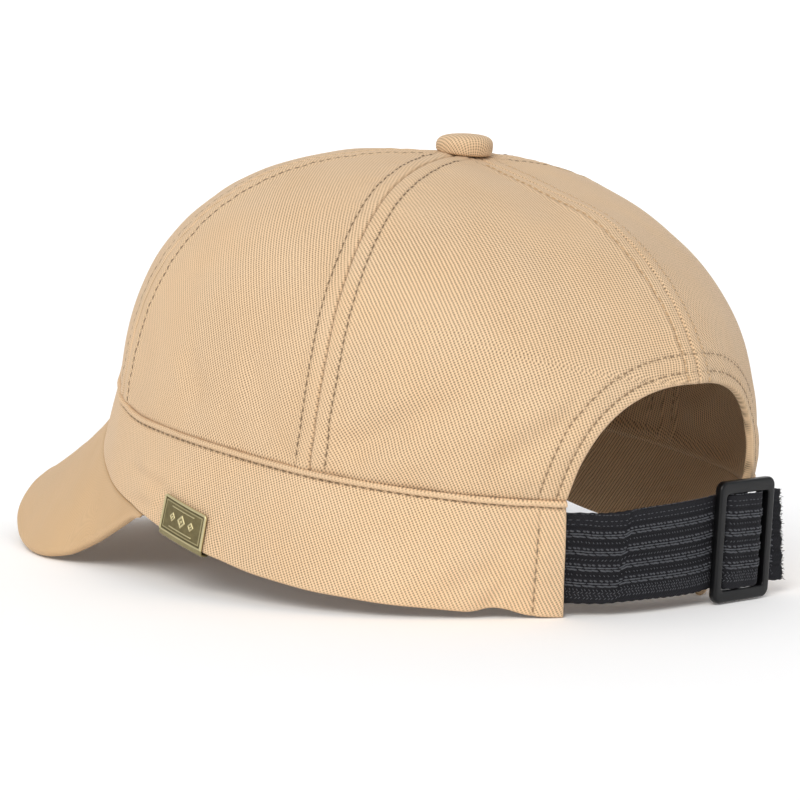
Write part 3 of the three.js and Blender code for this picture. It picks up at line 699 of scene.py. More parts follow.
# ---- materials -----------------------------------------------------------------------------
class Nodes:
    """Short helpers to write a node tree."""

    def __init__(self, name):
        self.mat = bpy.data.materials.new(name)
        self.mat.use_nodes = True
        self.tree = self.mat.node_tree
        self.tree.nodes.clear()
        self.out = self.add("ShaderNodeOutputMaterial")
        self.bsdf = self.add("ShaderNodeBsdfPrincipled")
        self.link(self.bsdf.outputs[0], self.out.inputs[0])

    def add(self, kind, **props):
        n = self.tree.nodes.new(kind)
        for k, v in props.items():
            setattr(n, k, v)
        return n

    def link(self, a, b):
        self.tree.links.new(a, b)

    def put(self, value, socket):
        if hasattr(value, "is_output") or hasattr(value, "links"):
            self.link(value, socket)
        else:
            socket.default_value = value

    def math(self, op, a, b=0.0, c=None, clamp=False):
        n = self.add("ShaderNodeMath", operation=op, use_clamp=clamp)
        self.put(a, n.inputs[0])
        self.put(b, n.inputs[1])
        if c is not None:
            self.put(c, n.inputs[2])
        return n.outputs[0]

    def mixc(self, fac, a, b, blend="MIX"):
        n = self.add("ShaderNodeMix", data_type="RGBA", blend_type=blend)
        self.put(fac, n.inputs[0])
        self.put(a, n.inputs[6])
        self.put(b, n.inputs[7])
        return n.outputs[2]

    def attribute(self, name):
        n = self.add("ShaderNodeAttribute", attribute_name=name)
        s = self.add("ShaderNodeSeparateXYZ")
        self.link(n.outputs["Vector"], s.inputs[0])
        return n.outputs["Vector"], s.outputs[0], s.outputs[1], s.outputs[2]

    def noise(self, vector, scale, detail=2.0, rough=0.5):
        n = self.add("ShaderNodeTexNoise")
        n.inputs["Scale"].default_value = scale
        n.inputs["Detail"].default_value = detail
        n.inputs["Roughness"].default_value = rough
        if vector is not None:
            self.link(vector, n.inputs["Vector"])
        return n.outputs[0]

    def position(self):
        g = self.add("ShaderNodeNewGeometry")
        return g.outputs["Position"]

    def bump(self, height, strength, distance, normal=None):
        b = self.add("ShaderNodeBump")
        b.inputs["Strength"].default_value = strength
        b.inputs["Distance"].default_value = distance
        self.link(height, b.inputs["Height"])
        if normal is not None:
            self.link(normal, b.inputs["Normal"])
        return b.outputs[0]


TWILL_COLOUR = (0.705, 0.502, 0.308)


def twill_material(name, colour=TWILL_COLOUR, contrast=1.0):
    k = Nodes(name)
    vec, s, r, _ = k.attribute("cloth")
    _, shade, wear, inside = k.attribute("painted_shade_and_wear")
    # uneven yarns bend the twill lines a little
    w1 = k.math("MULTIPLY_ADD", k.noise(vec, 0.35, 2.0), 0.7, -0.35)
    w2 = k.math("MULTIPLY_ADD", k.noise(vec, 1.1, 1.0), 0.36, -0.18)
    wob = k.math("ADD", w1, w2)

    def phase(angle, pitch, extra=None):
        a = math.radians(angle)
        x = k.math("MULTIPLY", s, math.cos(a) / pitch)
        y = k.math("MULTIPLY_ADD", r, math.sin(a) / pitch, x)
        return k.math("ADD", y, extra) if extra is not None else y

    def wave(p):
        c = k.math("COSINE", k.math("MULTIPLY", p, 2 * math.pi))
        return k.math("MULTIPLY_ADD", c, 0.5, 0.5)
    line = wave(phase(21.0, 0.985, k.math("MULTIPLY", wob, 0.5)))
    bead = wave(phase(-66.0, 0.69, k.math("MULTIPLY", wob, 0.7)))
    yarn_noise = k.noise(vec, 2.3, 3.0, 0.7)
    fibre = k.noise(vec, 9.0, 2.0, 0.6)
    ridge = k.math("POWER", line, 0.8)
    body = k.math("MULTIPLY_ADD", bead, 0.6, 0.4)
    height = k.math("MULTIPLY", ridge, body)
    height = k.math("ADD", height, k.math("MULTIPLY", yarn_noise, 0.35))
    height = k.math("ADD", height, k.math("MULTIPLY", fibre, 0.16))
    # tone: painted shade, darker between the ridges, darkest in the pits of the weave
    pit = k.math("MULTIPLY", k.math("SUBTRACT", 1.0, line), k.math("SUBTRACT", 1.0, bead))
    tone = k.math("MULTIPLY_ADD", ridge, 0.26 * contrast, -0.14 * contrast)
    tone = k.math("ADD", tone, k.math("MULTIPLY_ADD", bead, 0.16 * contrast, -0.08 * contrast))
    tone = k.math("SUBTRACT", tone, k.math("MULTIPLY", pit, 0.42 * contrast))
    # worn and stretched cloth shows less of the weave; its mean tone stays
    calm = k.math("MULTIPLY_ADD", wear, -0.78, 1.0, clamp=True)
    tone = k.math("ADD", tone, 0.105 * contrast)
    tone = k.math("MULTIPLY_ADD", tone, calm, 1.0 - 0.105 * contrast)
    tone = k.math("ADD", tone, k.math("MULTIPLY_ADD", yarn_noise, 0.26 * contrast, -0.13 * contrast))
    slow = k.noise(vec, 0.035, 3.0, 0.55)
    tone = k.math("ADD", tone, k.math("MULTIPLY_ADD", slow, 0.12, -0.06))
    # painted shade: the shade attribute darkens seam grooves, stitch rows, the band's lip and end rows, the peak's root
    # and the button's foot; where it is negative it paints light
    tone = k.math("MULTIPLY", tone, k.math("MULTIPLY_ADD", shade, -0.42, 1.0))
    tone = k.math("ADD", tone, k.math("MULTIPLY", wear, 0.02))
    tone = k.math("MULTIPLY", tone, k.math("MULTIPLY_ADD", inside, -0.06, 1.0))
    hue = k.mixc(k.noise(vec, 0.05, 2.0), (*[c * f for c, f in zip(colour, (1.01, 0.97, 0.93))], 1), (*[c * f for c, f in zip(colour, (0.99, 1.02, 1.08))], 1))
    vals = k.add("ShaderNodeCombineXYZ")
    for i in range(3):
        k.link(tone, vals.inputs[i])
    base = k.add("ShaderNodeMix", data_type="RGBA", blend_type="MULTIPLY")
    base.inputs[0].default_value = 1.0
    k.link(hue, base.inputs[6])
    k.link(vals.outputs[0], base.inputs[7])
    k.link(base.outputs[2], k.bsdf.inputs["Base Color"])
    rough = k.math("MULTIPLY_ADD", yarn_noise, 0.12, 0.82)
    k.link(rough, k.bsdf.inputs["Roughness"])
    k.bsdf.inputs["Specular IOR Level"].default_value = 0.2
    k.bsdf.inputs["Sheen Weight"].default_value = 0.08
    k.bsdf.inputs["Sheen Roughness"].default_value = 0.45
    height = k.math("MULTIPLY", height, calm)
    k.link(k.bump(height, 0.55, 0.00016), k.bsdf.inputs["Normal"])
    return k.mat


def thread_material(name, colour):
    k = Nodes(name)
    vec, s, r, tone_and_painted_light = k.attribute("cloth")
    twist = k.math("COSINE", k.math("ADD", k.math("MULTIPLY", s, 2 * math.pi / 0.55), k.math("MULTIPLY", r, 6.283)))
    light = k.math("MULTIPLY_ADD", twist, 0.08, 0.96)
    light = k.math("MULTIPLY", light, tone_and_painted_light)
    vals = k.add("ShaderNodeCombineXYZ")
    for i in range(3):
        k.link(light, vals.inputs[i])
    base = k.add("ShaderNodeMix", data_type="RGBA", blend_type="MULTIPLY")
    base.inputs[0].default_value = 1.0
    base.inputs[6].default_value = (*colour, 1)
    k.link(vals.outputs[0], base.inputs[7])
    k.link(base.outputs[2], k.bsdf.inputs["Base Color"])
    k.bsdf.inputs["Roughness"].default_value = 0.6
    k.bsdf.inputs["Sheen Weight"].default_value = 0.1
    k.link(k.bump(twist, 0.4, 0.00006), k.bsdf.inputs["Normal"])
    return k.mat


def elastic_material(name):
    k = Nodes(name)
    vec, s, r, _ = k.attribute("cloth")
    _, groove, light, _ = k.attribute("painted_shade_and_wear")
    knit = k.math("MULTIPLY",
                  k.math("SINE", k.math("MULTIPLY", s, 2 * math.pi / 0.62)),
                  k.math("SINE", k.math("MULTIPLY", r, 2 * math.pi / 0.74)))
    knit2 = k.math("SINE", k.math("MULTIPLY_ADD", s, 2 * math.pi / 0.9, k.math("MULTIPLY", r, 2 * math.pi / 1.3)))
    speck = k.noise(vec, 3.2, 3.0, 0.75)
    fuzz = k.noise(vec, 11.0, 2.0, 0.7)
    h = k.math("ADD", k.math("MULTIPLY", knit, 0.35), k.math("MULTIPLY", knit2, 0.15))
    h = k.math("ADD", h, k.math("MULTIPLY", fuzz, 0.5))
    # painted glints: light specks added to the webbing's tone
    glint = k.math("MULTIPLY", k.math("SUBTRACT", speck, 0.57, clamp=True), 7.0)
    tone = k.math("ADD", k.math("MULTIPLY_ADD", knit, 0.2, 0.42), glint)
    # painted shade in the grooves beside the stripes and at the doubled step
    tone = k.math("MULTIPLY", tone, k.math("MULTIPLY_ADD", groove, -0.5, 1.0))
    base = k.mixc(k.math("MULTIPLY", tone, 0.5, clamp=True), (0.002, 0.002, 0.003, 1), (0.06, 0.06, 0.07, 1))
    k.link(base, k.bsdf.inputs["Base Color"])
    k.link(k.math("MULTIPLY_ADD", fuzz, 0.2, 0.62), k.bsdf.inputs["Roughness"])
    k.bsdf.inputs["Specular IOR Level"].default_value = 0.14
    k.bsdf.inputs["Sheen Weight"].default_value = 0.02
    k.bsdf.inputs["Sheen Roughness"].default_value = 0.4
    k.link(k.bump(h, 0.7, 0.00018), k.bsdf.inputs["Normal"])
    return k.mat


def rib_material(name):
    k = Nodes(name)
    vec, s, r, _ = k.attribute("cloth")
    n = k.noise(vec, 1.6, 2.0, 0.6)
    fine = k.noise(vec, 12.0, 2.0, 0.6)
    base = k.mixc(n, (0.035, 0.037, 0.043, 1), (0.12, 0.125, 0.138, 1))
    k.link(base, k.bsdf.inputs["Base Color"])
    k.bsdf.inputs["Roughness"].default_value = 0.5
    k.bsdf.inputs["Specular IOR Level"].default_value = 0.3
    k.link(k.bump(fine, 0.4, 0.00005), k.bsdf.inputs["Normal"])
    return k.mat


def plastic_material(name):
    k = Nodes(name)
    pos = k.position()
    grain = k.noise(pos, 5200.0, 2.0, 0.6)
    slow = k.noise(pos, 160.0, 3.0, 0.6)
    base = k.mixc(slow, (0.0015, 0.0016, 0.0019, 1), (0.0048, 0.005, 0.0056, 1))
    k.link(base, k.bsdf.inputs["Base Color"])
    k.link(k.math("MULTIPLY_ADD", slow, 0.14, 0.27), k.bsdf.inputs["Roughness"])
    k.bsdf.inputs["Specular IOR Level"].default_value = 0.3
    k.link(k.bump(grain, 0.12, 0.00005), k.bsdf.inputs["Normal"])
    return k.mat


def brass_material(name):
    k = Nodes(name)
    vec, s, r, _ = k.attribute("cloth")
    _, shade, wear, _ = k.attribute("painted_shade_and_wear")
    stretched = k.add("ShaderNodeMapping")
    stretched.inputs["Scale"].default_value = (0.5, 9.0, 1.0)
    k.link(vec, stretched.inputs["Vector"])
    brush = k.noise(stretched.outputs[0], 2.2, 3.0, 0.6)
    blot = k.noise(vec, 0.5, 4.0, 0.65)
    dull = k.mixc(blot, (0.12, 0.097, 0.045, 1), (0.30, 0.25, 0.12, 1))
    bright = k.mixc(brush, (0.55, 0.47, 0.25, 1), (0.78, 0.70, 0.42, 1))
    base = k.mixc(wear, dull, bright)
    base = k.mixc(k.math("MULTIPLY", shade, 0.75), base, (0.03, 0.024, 0.012, 1))
    k.link(base, k.bsdf.inputs["Base Color"])
    k.bsdf.inputs["Metallic"].default_value = 0.85
    k.link(k.math("MULTIPLY_ADD", brush, 0.2, k.math("MULTIPLY_ADD", wear, -0.14, 0.42)), k.bsdf.inputs["Roughness"])
    k.link(k.bump(k.math("ADD", brush, k.math("MULTIPLY", blot, 0.6)), 0.25, 0.00008), k.bsdf.inputs["Normal"])
    return k.mat


MATERIALS["twill"] = twill_material("twill", TWILL_COLOUR, 1.2)
# the peak's twill is a darker copy of the band's: painted shade, with less weave showing
MATERIALS["twill_peak_painted_shade"] = twill_material("twill_peak_painted_shade", (0.60, 0.407, 0.225), 0.5)
MATERIALS["thread"] = thread_material("thread", (0.30, 0.20, 0.108))
MATERIALS["elastic"] = elastic_material("elastic")
MATERIALS["rib"] = rib_material("elastic_rib")
MATERIALS["plastic"] = plastic_material("plastic")
MATERIALS["brass"] = brass_material("brass")

# ---- crown ---------------------------------------------------------------------------------


def edge_of(name, side):
    return lambda u: seam_at(name, side, u)


gore("panel_left_side", edge_of("side", 1), edge_of("front", 1), 76.0, (80.0, 0.3))
gore("panel_right_side", edge_of("front", -1), edge_of("side", -1), 76.0, (-80.0, 0.3))
gore("panel_front", edge_of("front", 1), lambda u: 360 + seam_at("front", -1, u), 172.0, (180.0, 0.4))
back_panel("panel_back_left", 1, 62, 74, (40.0, 0.27))
back_panel("panel_back_right", -1, 62, 74, (-40.0, 0.27))

# ---- band ----------------------------------------------------------------------------------
band_length = length_along(band_point(np.linspace(BAND_END_LIP, 360 - BAND_END_LIP, 1400), np.full(1400, 0.5)))
BAND_TOTAL = band_length[-1]


def band_relief(points, e, rim, end, along):
    """Height of the band cloth: e below its upper edge, rim above the lower edge, end from the nearest end."""
    h = 0.18 * ripple(points, 1.15, 2) + crease_height("band", points)
    h = h + 0.12 * np.sin(2 * np.pi * along / 23 + 1.0) * smooth((14 - rim) / 14)
    roll = -0.15 + 1.0 * np.sqrt(np.maximum(0, 1 - ((e - LIP_ROLL / 2) / (LIP_ROLL / 2)) ** 2))
    uneven = 1 + 0.22 * np.sin(along / 2.3 + 0.6 * np.sin(along / 9)) + 0.18 * np.sin(along / 4.1 + 2) + 0.12 * np.sin(along / 11.3)
    h = np.where(e < LIP_ROLL, np.maximum(roll * uneven, -0.45), h * smooth((e - LIP_ROLL) / 3) - 0.36 * bell((e - LIP_ROW) / 0.6))
    stitch = np.cos(2 * np.pi * along / PITCH_LIP)
    h = h + 0.12 * stitch * bell((e - 1.1) / 0.9) - 0.09 * stitch * bell((e - 3.6) / 1.5)
    h = h + 0.22 * smooth((END_ROW + 1.4 - end) / 1.6) * smooth((e - 3) / 3)
    h = h - 0.34 * bell((end - END_ROW) / 0.62) * smooth((e - 2.2) / 1.5)
    h = h + 0.08 * np.sin(2 * np.pi * rim / 6.3) * bell((end - 5.5) / 2.5)
    shade = np.maximum((0.42 + 0.16 * stitch) * bell((e - LIP_ROW) / 0.5), 0.45 * bell((end - END_ROW) / 0.45) * (e > 2.4))
    # painted light: a negative shade paints the back of the band lighter
    shade = shade - 0.22 * smooth((points[..., 1] - 15) / 60)  # the back of the band is a little lighter
    wear = np.maximum(0.9 * bell((e - 1.0) / 0.8), np.maximum(0.7 * bell(rim / 1.2), 0.7 * bell(end / 1.2)))
    wear = np.maximum(wear, 0.7 * smooth((-points[..., 1] - 8 + 5 * ripple(points, 1.0, 1)) / 30))
    return h, shade, wear


def make_band():
    fi = spread(BAND_TOTAL, ARCHFINE, ARCHFINE, 1.35)
    a1 = BAND_END_LIP + (360 - 2 * BAND_END_LIP) * np.linspace(0, 1, 1400)
    a = np.interp(fi * BAND_TOTAL, band_length, a1)
    fj = spread(36.5, (0.06, 0.18, 0.36, 0.6, 0.9, 1.4, 2.2), (0.0, 0.08, 0.2, 0.36, 0.55, 0.78, 1.0, 1.2, 1.38, 1.54, 1.66, 1.75, 1.86, 2.0, 2.15, 2.35, 2.6, 2.95, 3.4, 4.0, 4.8, 5.8), 1.25)
    aa, vv = np.meshgrid(a, fj, indexing="ij")
    lo, hi = band_point(aa, np.zeros(aa.shape)), band_point(aa, np.ones(aa.shape))
    tall = np.linalg.norm(hi - lo, axis=-1)
    extra = 0.75  # the roll stands a little above the line where the crown is sewn in
    height = tall + extra
    # keep the fine rows near the upper edge at true distances from it
    e = (1 - vv) * 36.5
    e = np.where(e < 8, e, 8 + (e - 8) * (height - 8) / (36.5 - 8))
    v = (height - e) / tall
    base = band_point(aa, v)
    normal = band_normal(aa, np.clip(v, 0, 1))
    along = np.interp(aa, a1, band_length)
    end = np.minimum(along, BAND_TOTAL - along)
    rim = height - e
    h, shade, wear = band_relief(base, e, rim, end, along)
    drop = 0.0
    for d in (rim, end):
        drop = np.maximum(drop, 0.75 - np.sqrt(np.maximum(0, 0.75 ** 2 - (0.75 - np.minimum(d, 0.75)) ** 2)))
    outer = base + normal * (h - drop)[..., None]
    seam_in = 0.5 * smooth((END_ROW + 1 - end) / 0.3)
    back = base + normal * (np.minimum(h, 0) * 0.5 - CLOTH - seam_in + drop)[..., None]
    # the roll's inner side closes against the crown
    top_in = smooth(1 - e / 0.7)
    back = back + normal * (top_in * 0.9)[..., None]
    ga, gv = np.interp(np.linspace(0, BAND_TOTAL, 110), band_length, a1), np.linspace(0, 1.04, 8)
    ma, mv = np.meshgrid(ga, gv, indexing="ij")
    gp = band_point(ma, mv)
    node = (int(np.abs(ga - 62).argmin()), 4)
    right = unit(np.cross(PLUMB, band_normal(np.array(ga[node[0]]), np.array(0.55))))
    sheet = Sheet(ga, gv, gp, first_guess(gp, node[0]), node, right, 2500)
    cloth = np.empty(aa.shape + (2,))
    columns = through(np.column_stack([ga, sheet.q.reshape(len(ga), -1)]), a).reshape(len(a), len(gv), 2)
    for i in range(len(a)):
        cloth[i] = through(np.column_stack([gv, columns[i]]), v[i])
    painted_shade_and_wear = np.stack([shade * np.ones(aa.shape), wear * np.ones(aa.shape)], -1)
    return wall_mesh("band", outer, back, "twill", cloth, painted_shade_and_wear, replaces=("band",))


make_band()

# ---- peak ----------------------------------------------------------------------------------
PEAK_ROWS = PEAK_EDGE + [(360 - t, -x, y, z) for t, x, y, z in PEAK_EDGE[:-1][::-1]]


def peak_top(t, w):
    edge, rim = through(PEAK_ROWS, t), rim_point(t)
    ruling = edge - rim
    length = np.linalg.norm(ruling, axis=-1)
    direction = unit(ruling)
    clear = GAP + 0.1 + 0.5 * smooth((126 - fold(t)) / 8)
    start = rim + direction * np.minimum(clear, 0.4 * length)[..., None]
    along = rim_point(t + 0.5) - rim_point(t - 0.5) + through(PEAK_ROWS, t + 0.5) - through(PEAK_ROWS, t - 0.5)
    up = unit(np.cross(along, ruling))
    bow = 4 * PEAK_CROWN * w * (1 - w) * np.clip(length / 60, 0, 1)
    return start + (edge - start) * w[..., None] + up * bow[..., None], up, length


def make_peak():
    t0, t1 = PEAK_EDGE[0][0], 360 - PEAK_EDGE[0][0]
    edge_line = through(PEAK_ROWS, np.linspace(t0, t1, 1200))
    el = length_along(edge_line)
    fi = spread(el[-1], (0.1, 0.3, 0.6, 1.0, 1.6, 2.4), (0.1, 0.3, 0.6, 1.0, 1.6, 2.4), 1.9)
    t = np.interp(fi * el[-1], el, np.linspace(t0, t1, 1200))
    wj = spread(72.0, (0.3, 0.8, 1.5, 2.4), (0.03, 0.1, 0.22, 0.4, 0.62, 0.9, 1.2, 1.5, 1.9, 2.4, 3.0, 4.0), 1.7)
    tt, ww = np.meshgrid(t, wj, indexing="ij")
    p, up, length = peak_top(tt, ww)
    from_edge = (1 - ww) * length
    from_edge = np.minimum(from_edge, (1 - ww) * 72.0)
    ends = np.minimum(fi, 1 - fi)[:, None] * el[-1] + 0 * ww
    thick = PEAK_THICK * (0.3 + 0.7 * smooth(ends / 9.0))
    half = thick / 2
    dd = np.minimum(np.minimum(from_edge, ends), half)
    drop = half - np.sqrt(np.maximum(0, half ** 2 - (half - dd) ** 2))
    root = ww * length
    h = 0.14 * ripple(p, 0.9, 1) - 0.2 * bell(root / 1.1)
    # the board's edge shows as a faint step inside the turned seam
    h = h + 0.16 * bell((from_edge - 1.9) / 1.0) - 0.16 * bell((from_edge - 4.2) / 1.4)
    outer = p + up * (h - drop)[..., None]
    back = p + up * (-thick + drop + np.minimum(0.0, 0.1 * ripple(p, 1.0, 2)))[..., None]
    gt, gw = np.linspace(t0, t1, 40), np.linspace(0, 1, 16)
    nt, nw = np.meshgrid(gt, gw, indexing="ij")
    gp, _, _ = peak_top(nt, nw)
    sheet = Sheet(gt, gw, gp, first_guess(gp, 20) * np.array([1, -1]), (20, 8), np.array([-1.0, 0, 0]))
    flat = sheet.at(t, wj)
    # the seam allowance goes up inside the band
    ahead = rim_point(t + 0.5) - rim_point(t - 0.5)
    rise = unit(lip_point(t) - rim_point(t))
    outward = unit(np.cross(ahead, rise))
    outward = outward * np.sign((outward * rim_point(t)).sum(-1))[:, None]
    tuck_o, tuck_i = [], []
    for up_by, depth in ((5.0, 2.1), (2.0, 2.1), (0.2, 2.0), (-0.45, 1.3)):
        foot = rim_point(t) + rise * up_by
        tuck_o.append(foot - outward * depth)
        tuck_i.append(foot - outward * (depth + 0.9))
    outer = np.concatenate([np.stack(tuck_o, 1), outer], 1)
    back = np.concatenate([np.stack(tuck_i, 1), back], 1)
    more = len(tuck_o)
    flat = np.concatenate([np.repeat(flat[:, :1], more, 1), flat], 1)
    root = np.concatenate([np.zeros((len(t), more)), root], 1)
    from_edge = np.concatenate([np.full((len(t), more), 50.0), from_edge], 1)
    shade = 0.25 * bell(root / 1.0)
    # the wings are rubbed smooth, the middle keeps a little more of its weave
    wear = 0.6 + 0.4 * smooth((158 - np.minimum(t, 360 - t)[:, None]) / 26) + 0 * root
    wear = np.maximum(wear, bell((from_edge - 0.6) / 1.2))
    painted_shade_and_wear = np.stack([shade, wear], -1)
    return wall_mesh("peak", outer, back, "twill", flat, painted_shade_and_wear, replaces=("peak",), material="twill_peak_painted_shade")


make_peak()


# ---- covered button --------------------------------------------------------------------------
def make_button():
    r, hgt = BUTTON["radius"], BUTTON["height"]
    profile = [(0.0, hgt), (0.22 * r, hgt - 0.04), (0.42 * r, hgt - 0.16), (0.6 * r, hgt - 0.38), (0.74 * r, hgt - 0.68),
               (0.85 * r, hgt - 1.1), (0.93 * r, hgt - 1.66), (0.975 * r, hgt - 2.35), (r, hgt - 3.1), (r, hgt - 4.2),
               (0.995 * r, hgt - 5.0), (0.97 * r, hgt - 5.6), (0.91 * r, hgt - 5.98), (0.75 * r, hgt - 6.15), (0.45 * r, hgt - 6.2),
               (0.3 * r, hgt - 6.3), (0.26 * r, -2.5), (0.0, -2.5)]
    prof = np.array(profile)
    fine = []
    for i in range(len(prof) - 1):
        for k in range(3):
            fine.append(prof[i] + (prof[i + 1] - prof[i]) * k / 3)
    fine = np.array(fine + [prof[-1]])
    # round the polyline a little
    for _ in range(2):
        fine[1:-1] = 0.25 * fine[:-2] + 0.5 * fine[1:-1] + 0.25 * fine[2:]
    n = 96
    ang = 2 * np.pi * np.arange(n) / n
    rings = fine[1:-1]
    arc = np.concatenate([[0], np.cumsum(np.linalg.norm(np.diff(fine, axis=0), axis=1))])
    verts = [[0, 0, fine[0, 1]]]
    flat = [[0, 0]]
    painted_shade_and_wear = [[0, 0]]
    for idx, (rad, z) in enumerate(rings):
        lower = smooth(np.array((2.6 - z) / 2.2))
        gather = 1 - 0.012 * lower * (0.5 + 0.5 * np.cos(ang * 17 + 0.6 * np.sin(3 * ang)))
        rr = rad * gather * (1 + 0.004 * np.sin(2 * ang + 1))
        for a, q in zip(ang, rr):
            lean = q * math.sin(a) * math.tan(PITCH * 0.75) * smooth(np.array(z / 4.5))
            verts.append([q * math.cos(a), q * math.sin(a), z + float(lean)])
            flat.append([-arc[idx + 1] * math.cos(a), arc[idx + 1] * math.sin(a)])
            # painted shade on the button's lower rim, where it sits on the crown
            painted_shade_and_wear.append([0.85 * smooth(np.array((0.35 - z) / 0.6)), 0.2])
    verts.append([0, 0, fine[-1, 1]])
    flat.append([0, 0])
    painted_shade_and_wear.append([1, 0])
    verts = np.array(verts) + np.array([BUTTON["x"], BUTTON["y"], APEX[2] - DIMPLE["deep"] + GAP])
    quads, tris = [], []
    m = len(rings)
    for i in range(m - 1):
        for j in range(n):
            k = (j + 1) % n
            quads.append([1 + i * n + j, 1 + (i + 1) * n + j, 1 + (i + 1) * n + k, 1 + i * n + k])
    for j in range(n):
        k = (j + 1) % n
        tris.append([0, 1 + j, 1 + k])
        tris.append([len(verts) - 1, 1 + (m - 1) * n + k, 1 + (m - 1) * n + j])
    mk = np.zeros((len(verts), 3))
    mk[:, :2] = np.array(painted_shade_and_wear, float).reshape(-1, 2)
    return make_mesh("top_button", verts, quads, "twill", ("top_button",), np.array(flat), mk, tris=tris)


make_button()


# ---- elastic strap and its anchor loop ----------------------------------------------------------
def catmull(points, f):
    """Centripetal Catmull-Rom curve through points at shares f."""
    pts = np.asarray(points, float)
    n = len(pts)
    f = np.asarray(f, float)
    x = f * (n - 1)
    i = np.minimum(np.floor(x).astype(int), n - 2)
    w = (x - i)[:, None]
    ext = np.concatenate([[2 * pts[0] - pts[1]], pts, [2 * pts[-1] - pts[-2]]])
    p0, p1, p2, p3 = ext[i], ext[i + 1], ext[i + 2], ext[i + 3]

    def gap(a, b):
        return np.maximum(np.linalg.norm(a - b, axis=1) ** 0.5, 1e-4)[:, None]
    d0, d1, d2 = gap(p0, p1), gap(p1, p2), gap(p2, p3)
    m1 = ((p1 - p0) / d0 - (p2 - p0) / (d0 + d1) + (p2 - p1) / d1) * d1
    m2 = ((p2 - p1) / d1 - (p3 - p1) / (d1 + d2) + (p3 - p2) / d2) * d1
    return (
        p1 + m1 * w + (-3 * p1 + 3 * p2 - 2 * m1 - m2) * w ** 2 + (2 * p1 - 2 * p2 + m1 + m2) * w ** 3
    )


def station(row):
    x, y, lean, low, high, skew = row
    return (x - skew / 2, y - lean / 2, low), (x + skew / 2, y + lean / 2, high)


def sewn(angles, side, low, high):
    out = []
    for a in angles:
        angle = float(a if side > 0 else 360 - a)
        r0, l0 = float(rim_height(np.array(angle))), float(lip_height(np.array(angle)))
        depth = -(1.6 + GAP + 0.1 + STRAP_THICK / 2)
        out.append((band(angle, (low - r0) / (l0 - r0), depth), band(angle, (high - r0) / (l0 - r0), depth)))
    return out


RIB_GROUPS = (0.238, 0.425, 0.60, 0.772)  # centres of the four raised stripes, share from the top
RIB_ROWS = [  # below the stripe's centre mm, pitch, length, radius of the threads
    (-0.9, 1.45, 1.0, 0.27), (-0.05, 2.05, 2.3, 0.24), (0.72, 2.05, 2.25, 0.27),
]
FAINT_ROWS = [  # share from the top, pitch, length, radius, slant: thin floats between the stripes
    (0.016, 1.3, 0.9, 0.13, 0.0), (0.085, 1.7, 0.9, 0.12, 0.0), (0.135, 1.45, 0.8, 0.12, 0.0),
    (0.325, 1.2, 0.5, 0.12, 0.25), (0.515, 1.2, 0.5, 0.12, -0.25), (0.685, 1.3, 0.5, 0.12, 0.25),
    (0.845, 1.1, 0.55, 0.13, 0.3), (0.875, 1.1, 0.55, 0.13, -0.3), (0.905, 1.1, 0.55, 0.13, 0.3), (0.935, 1.1, 0.55, 0.13, -0.3),
]
RIB_SHIFT = [  # along the strap from the left band end mm, how far the stripes sit lower mm
    (-30, -0.45), (0, -0.4), (8, -0.05), (14.2, 0.3), (15.0, 0.25), (16.6, -0.45), (30, -0.5), (55, -0.75), (62, -0.6), (70, -0.4), (95, -0.4),
]


class Ribbon:
    def __init__(self, stations, shift=((0, 0), (1, 0)), step=None):
        self.lo = np.array([s[0] for s in stations], float)
        self.hi = np.array([s[1] for s in stations], float)
        f = np.linspace(0, 1, 3000)
        mid = (catmull(self.lo, f) + catmull(self.hi, f)) / 2
        self.along = length_along(mid)
        self.f = f
        self.length = self.along[-1]
        self.free = np.interp(4 / (len(stations) - 1), f, self.along)  # where it leaves the band
        self.table = np.array(shift, float)
        self.step = step

    def shift(self, s):
        return np.interp(s - self.free, self.table[:, 0], self.table[:, 1])

    def swell(self, s):
        """Extra thickness where the webbing is sewn double."""
        if self.step is None:
            return np.zeros(np.shape(s))
        x = s - self.free
        return 0.3 * smooth((self.step - x) / 1.1) * smooth((x - 1.5) / 3)

    def frame(self, s):
        f = np.interp(s, self.along, self.f)
        e = 0.0006
        lo, hi = catmull(self.lo, f), catmull(self.hi, f)
        lo2, hi2 = catmull(self.lo, np.minimum(1, f + e)), catmull(self.hi, np.minimum(1, f + e))
        lo1, hi1 = catmull(self.lo, np.maximum(0, f - e)), catmull(self.hi, np.maximum(0, f - e))
        run = unit((lo2 + hi2) - (lo1 + hi1))
        rise = hi - lo
        return lo, rise, unit(np.cross(run, rise)), run

    def at(self, s, w, offset):
        """Point at length s, share w from lower to upper edge, offset outwards."""
        lo, rise, nrm, _ = self.frame(s)
        return lo + rise * w[:, None] + nrm * offset[:, None]


def ribbon_height(down, tall, along):
    """Relief of the webbing's face: down is the distance from the upper edge."""
    h = np.zeros(down.shape)
    for c in RIB_GROUPS:
        x = down - c * tall
        h = h + 0.17 * smooth((1.75 - np.abs(x)) / 0.5)
    h = h + 0.05 * np.sin(2 * np.pi * along / 1.24) * np.sin(2 * np.pi * down / 1.48)
    edge = np.minimum(down, tall - down)
    h = h + 0.10 * bell((edge - 0.7) / 0.5)
    return h


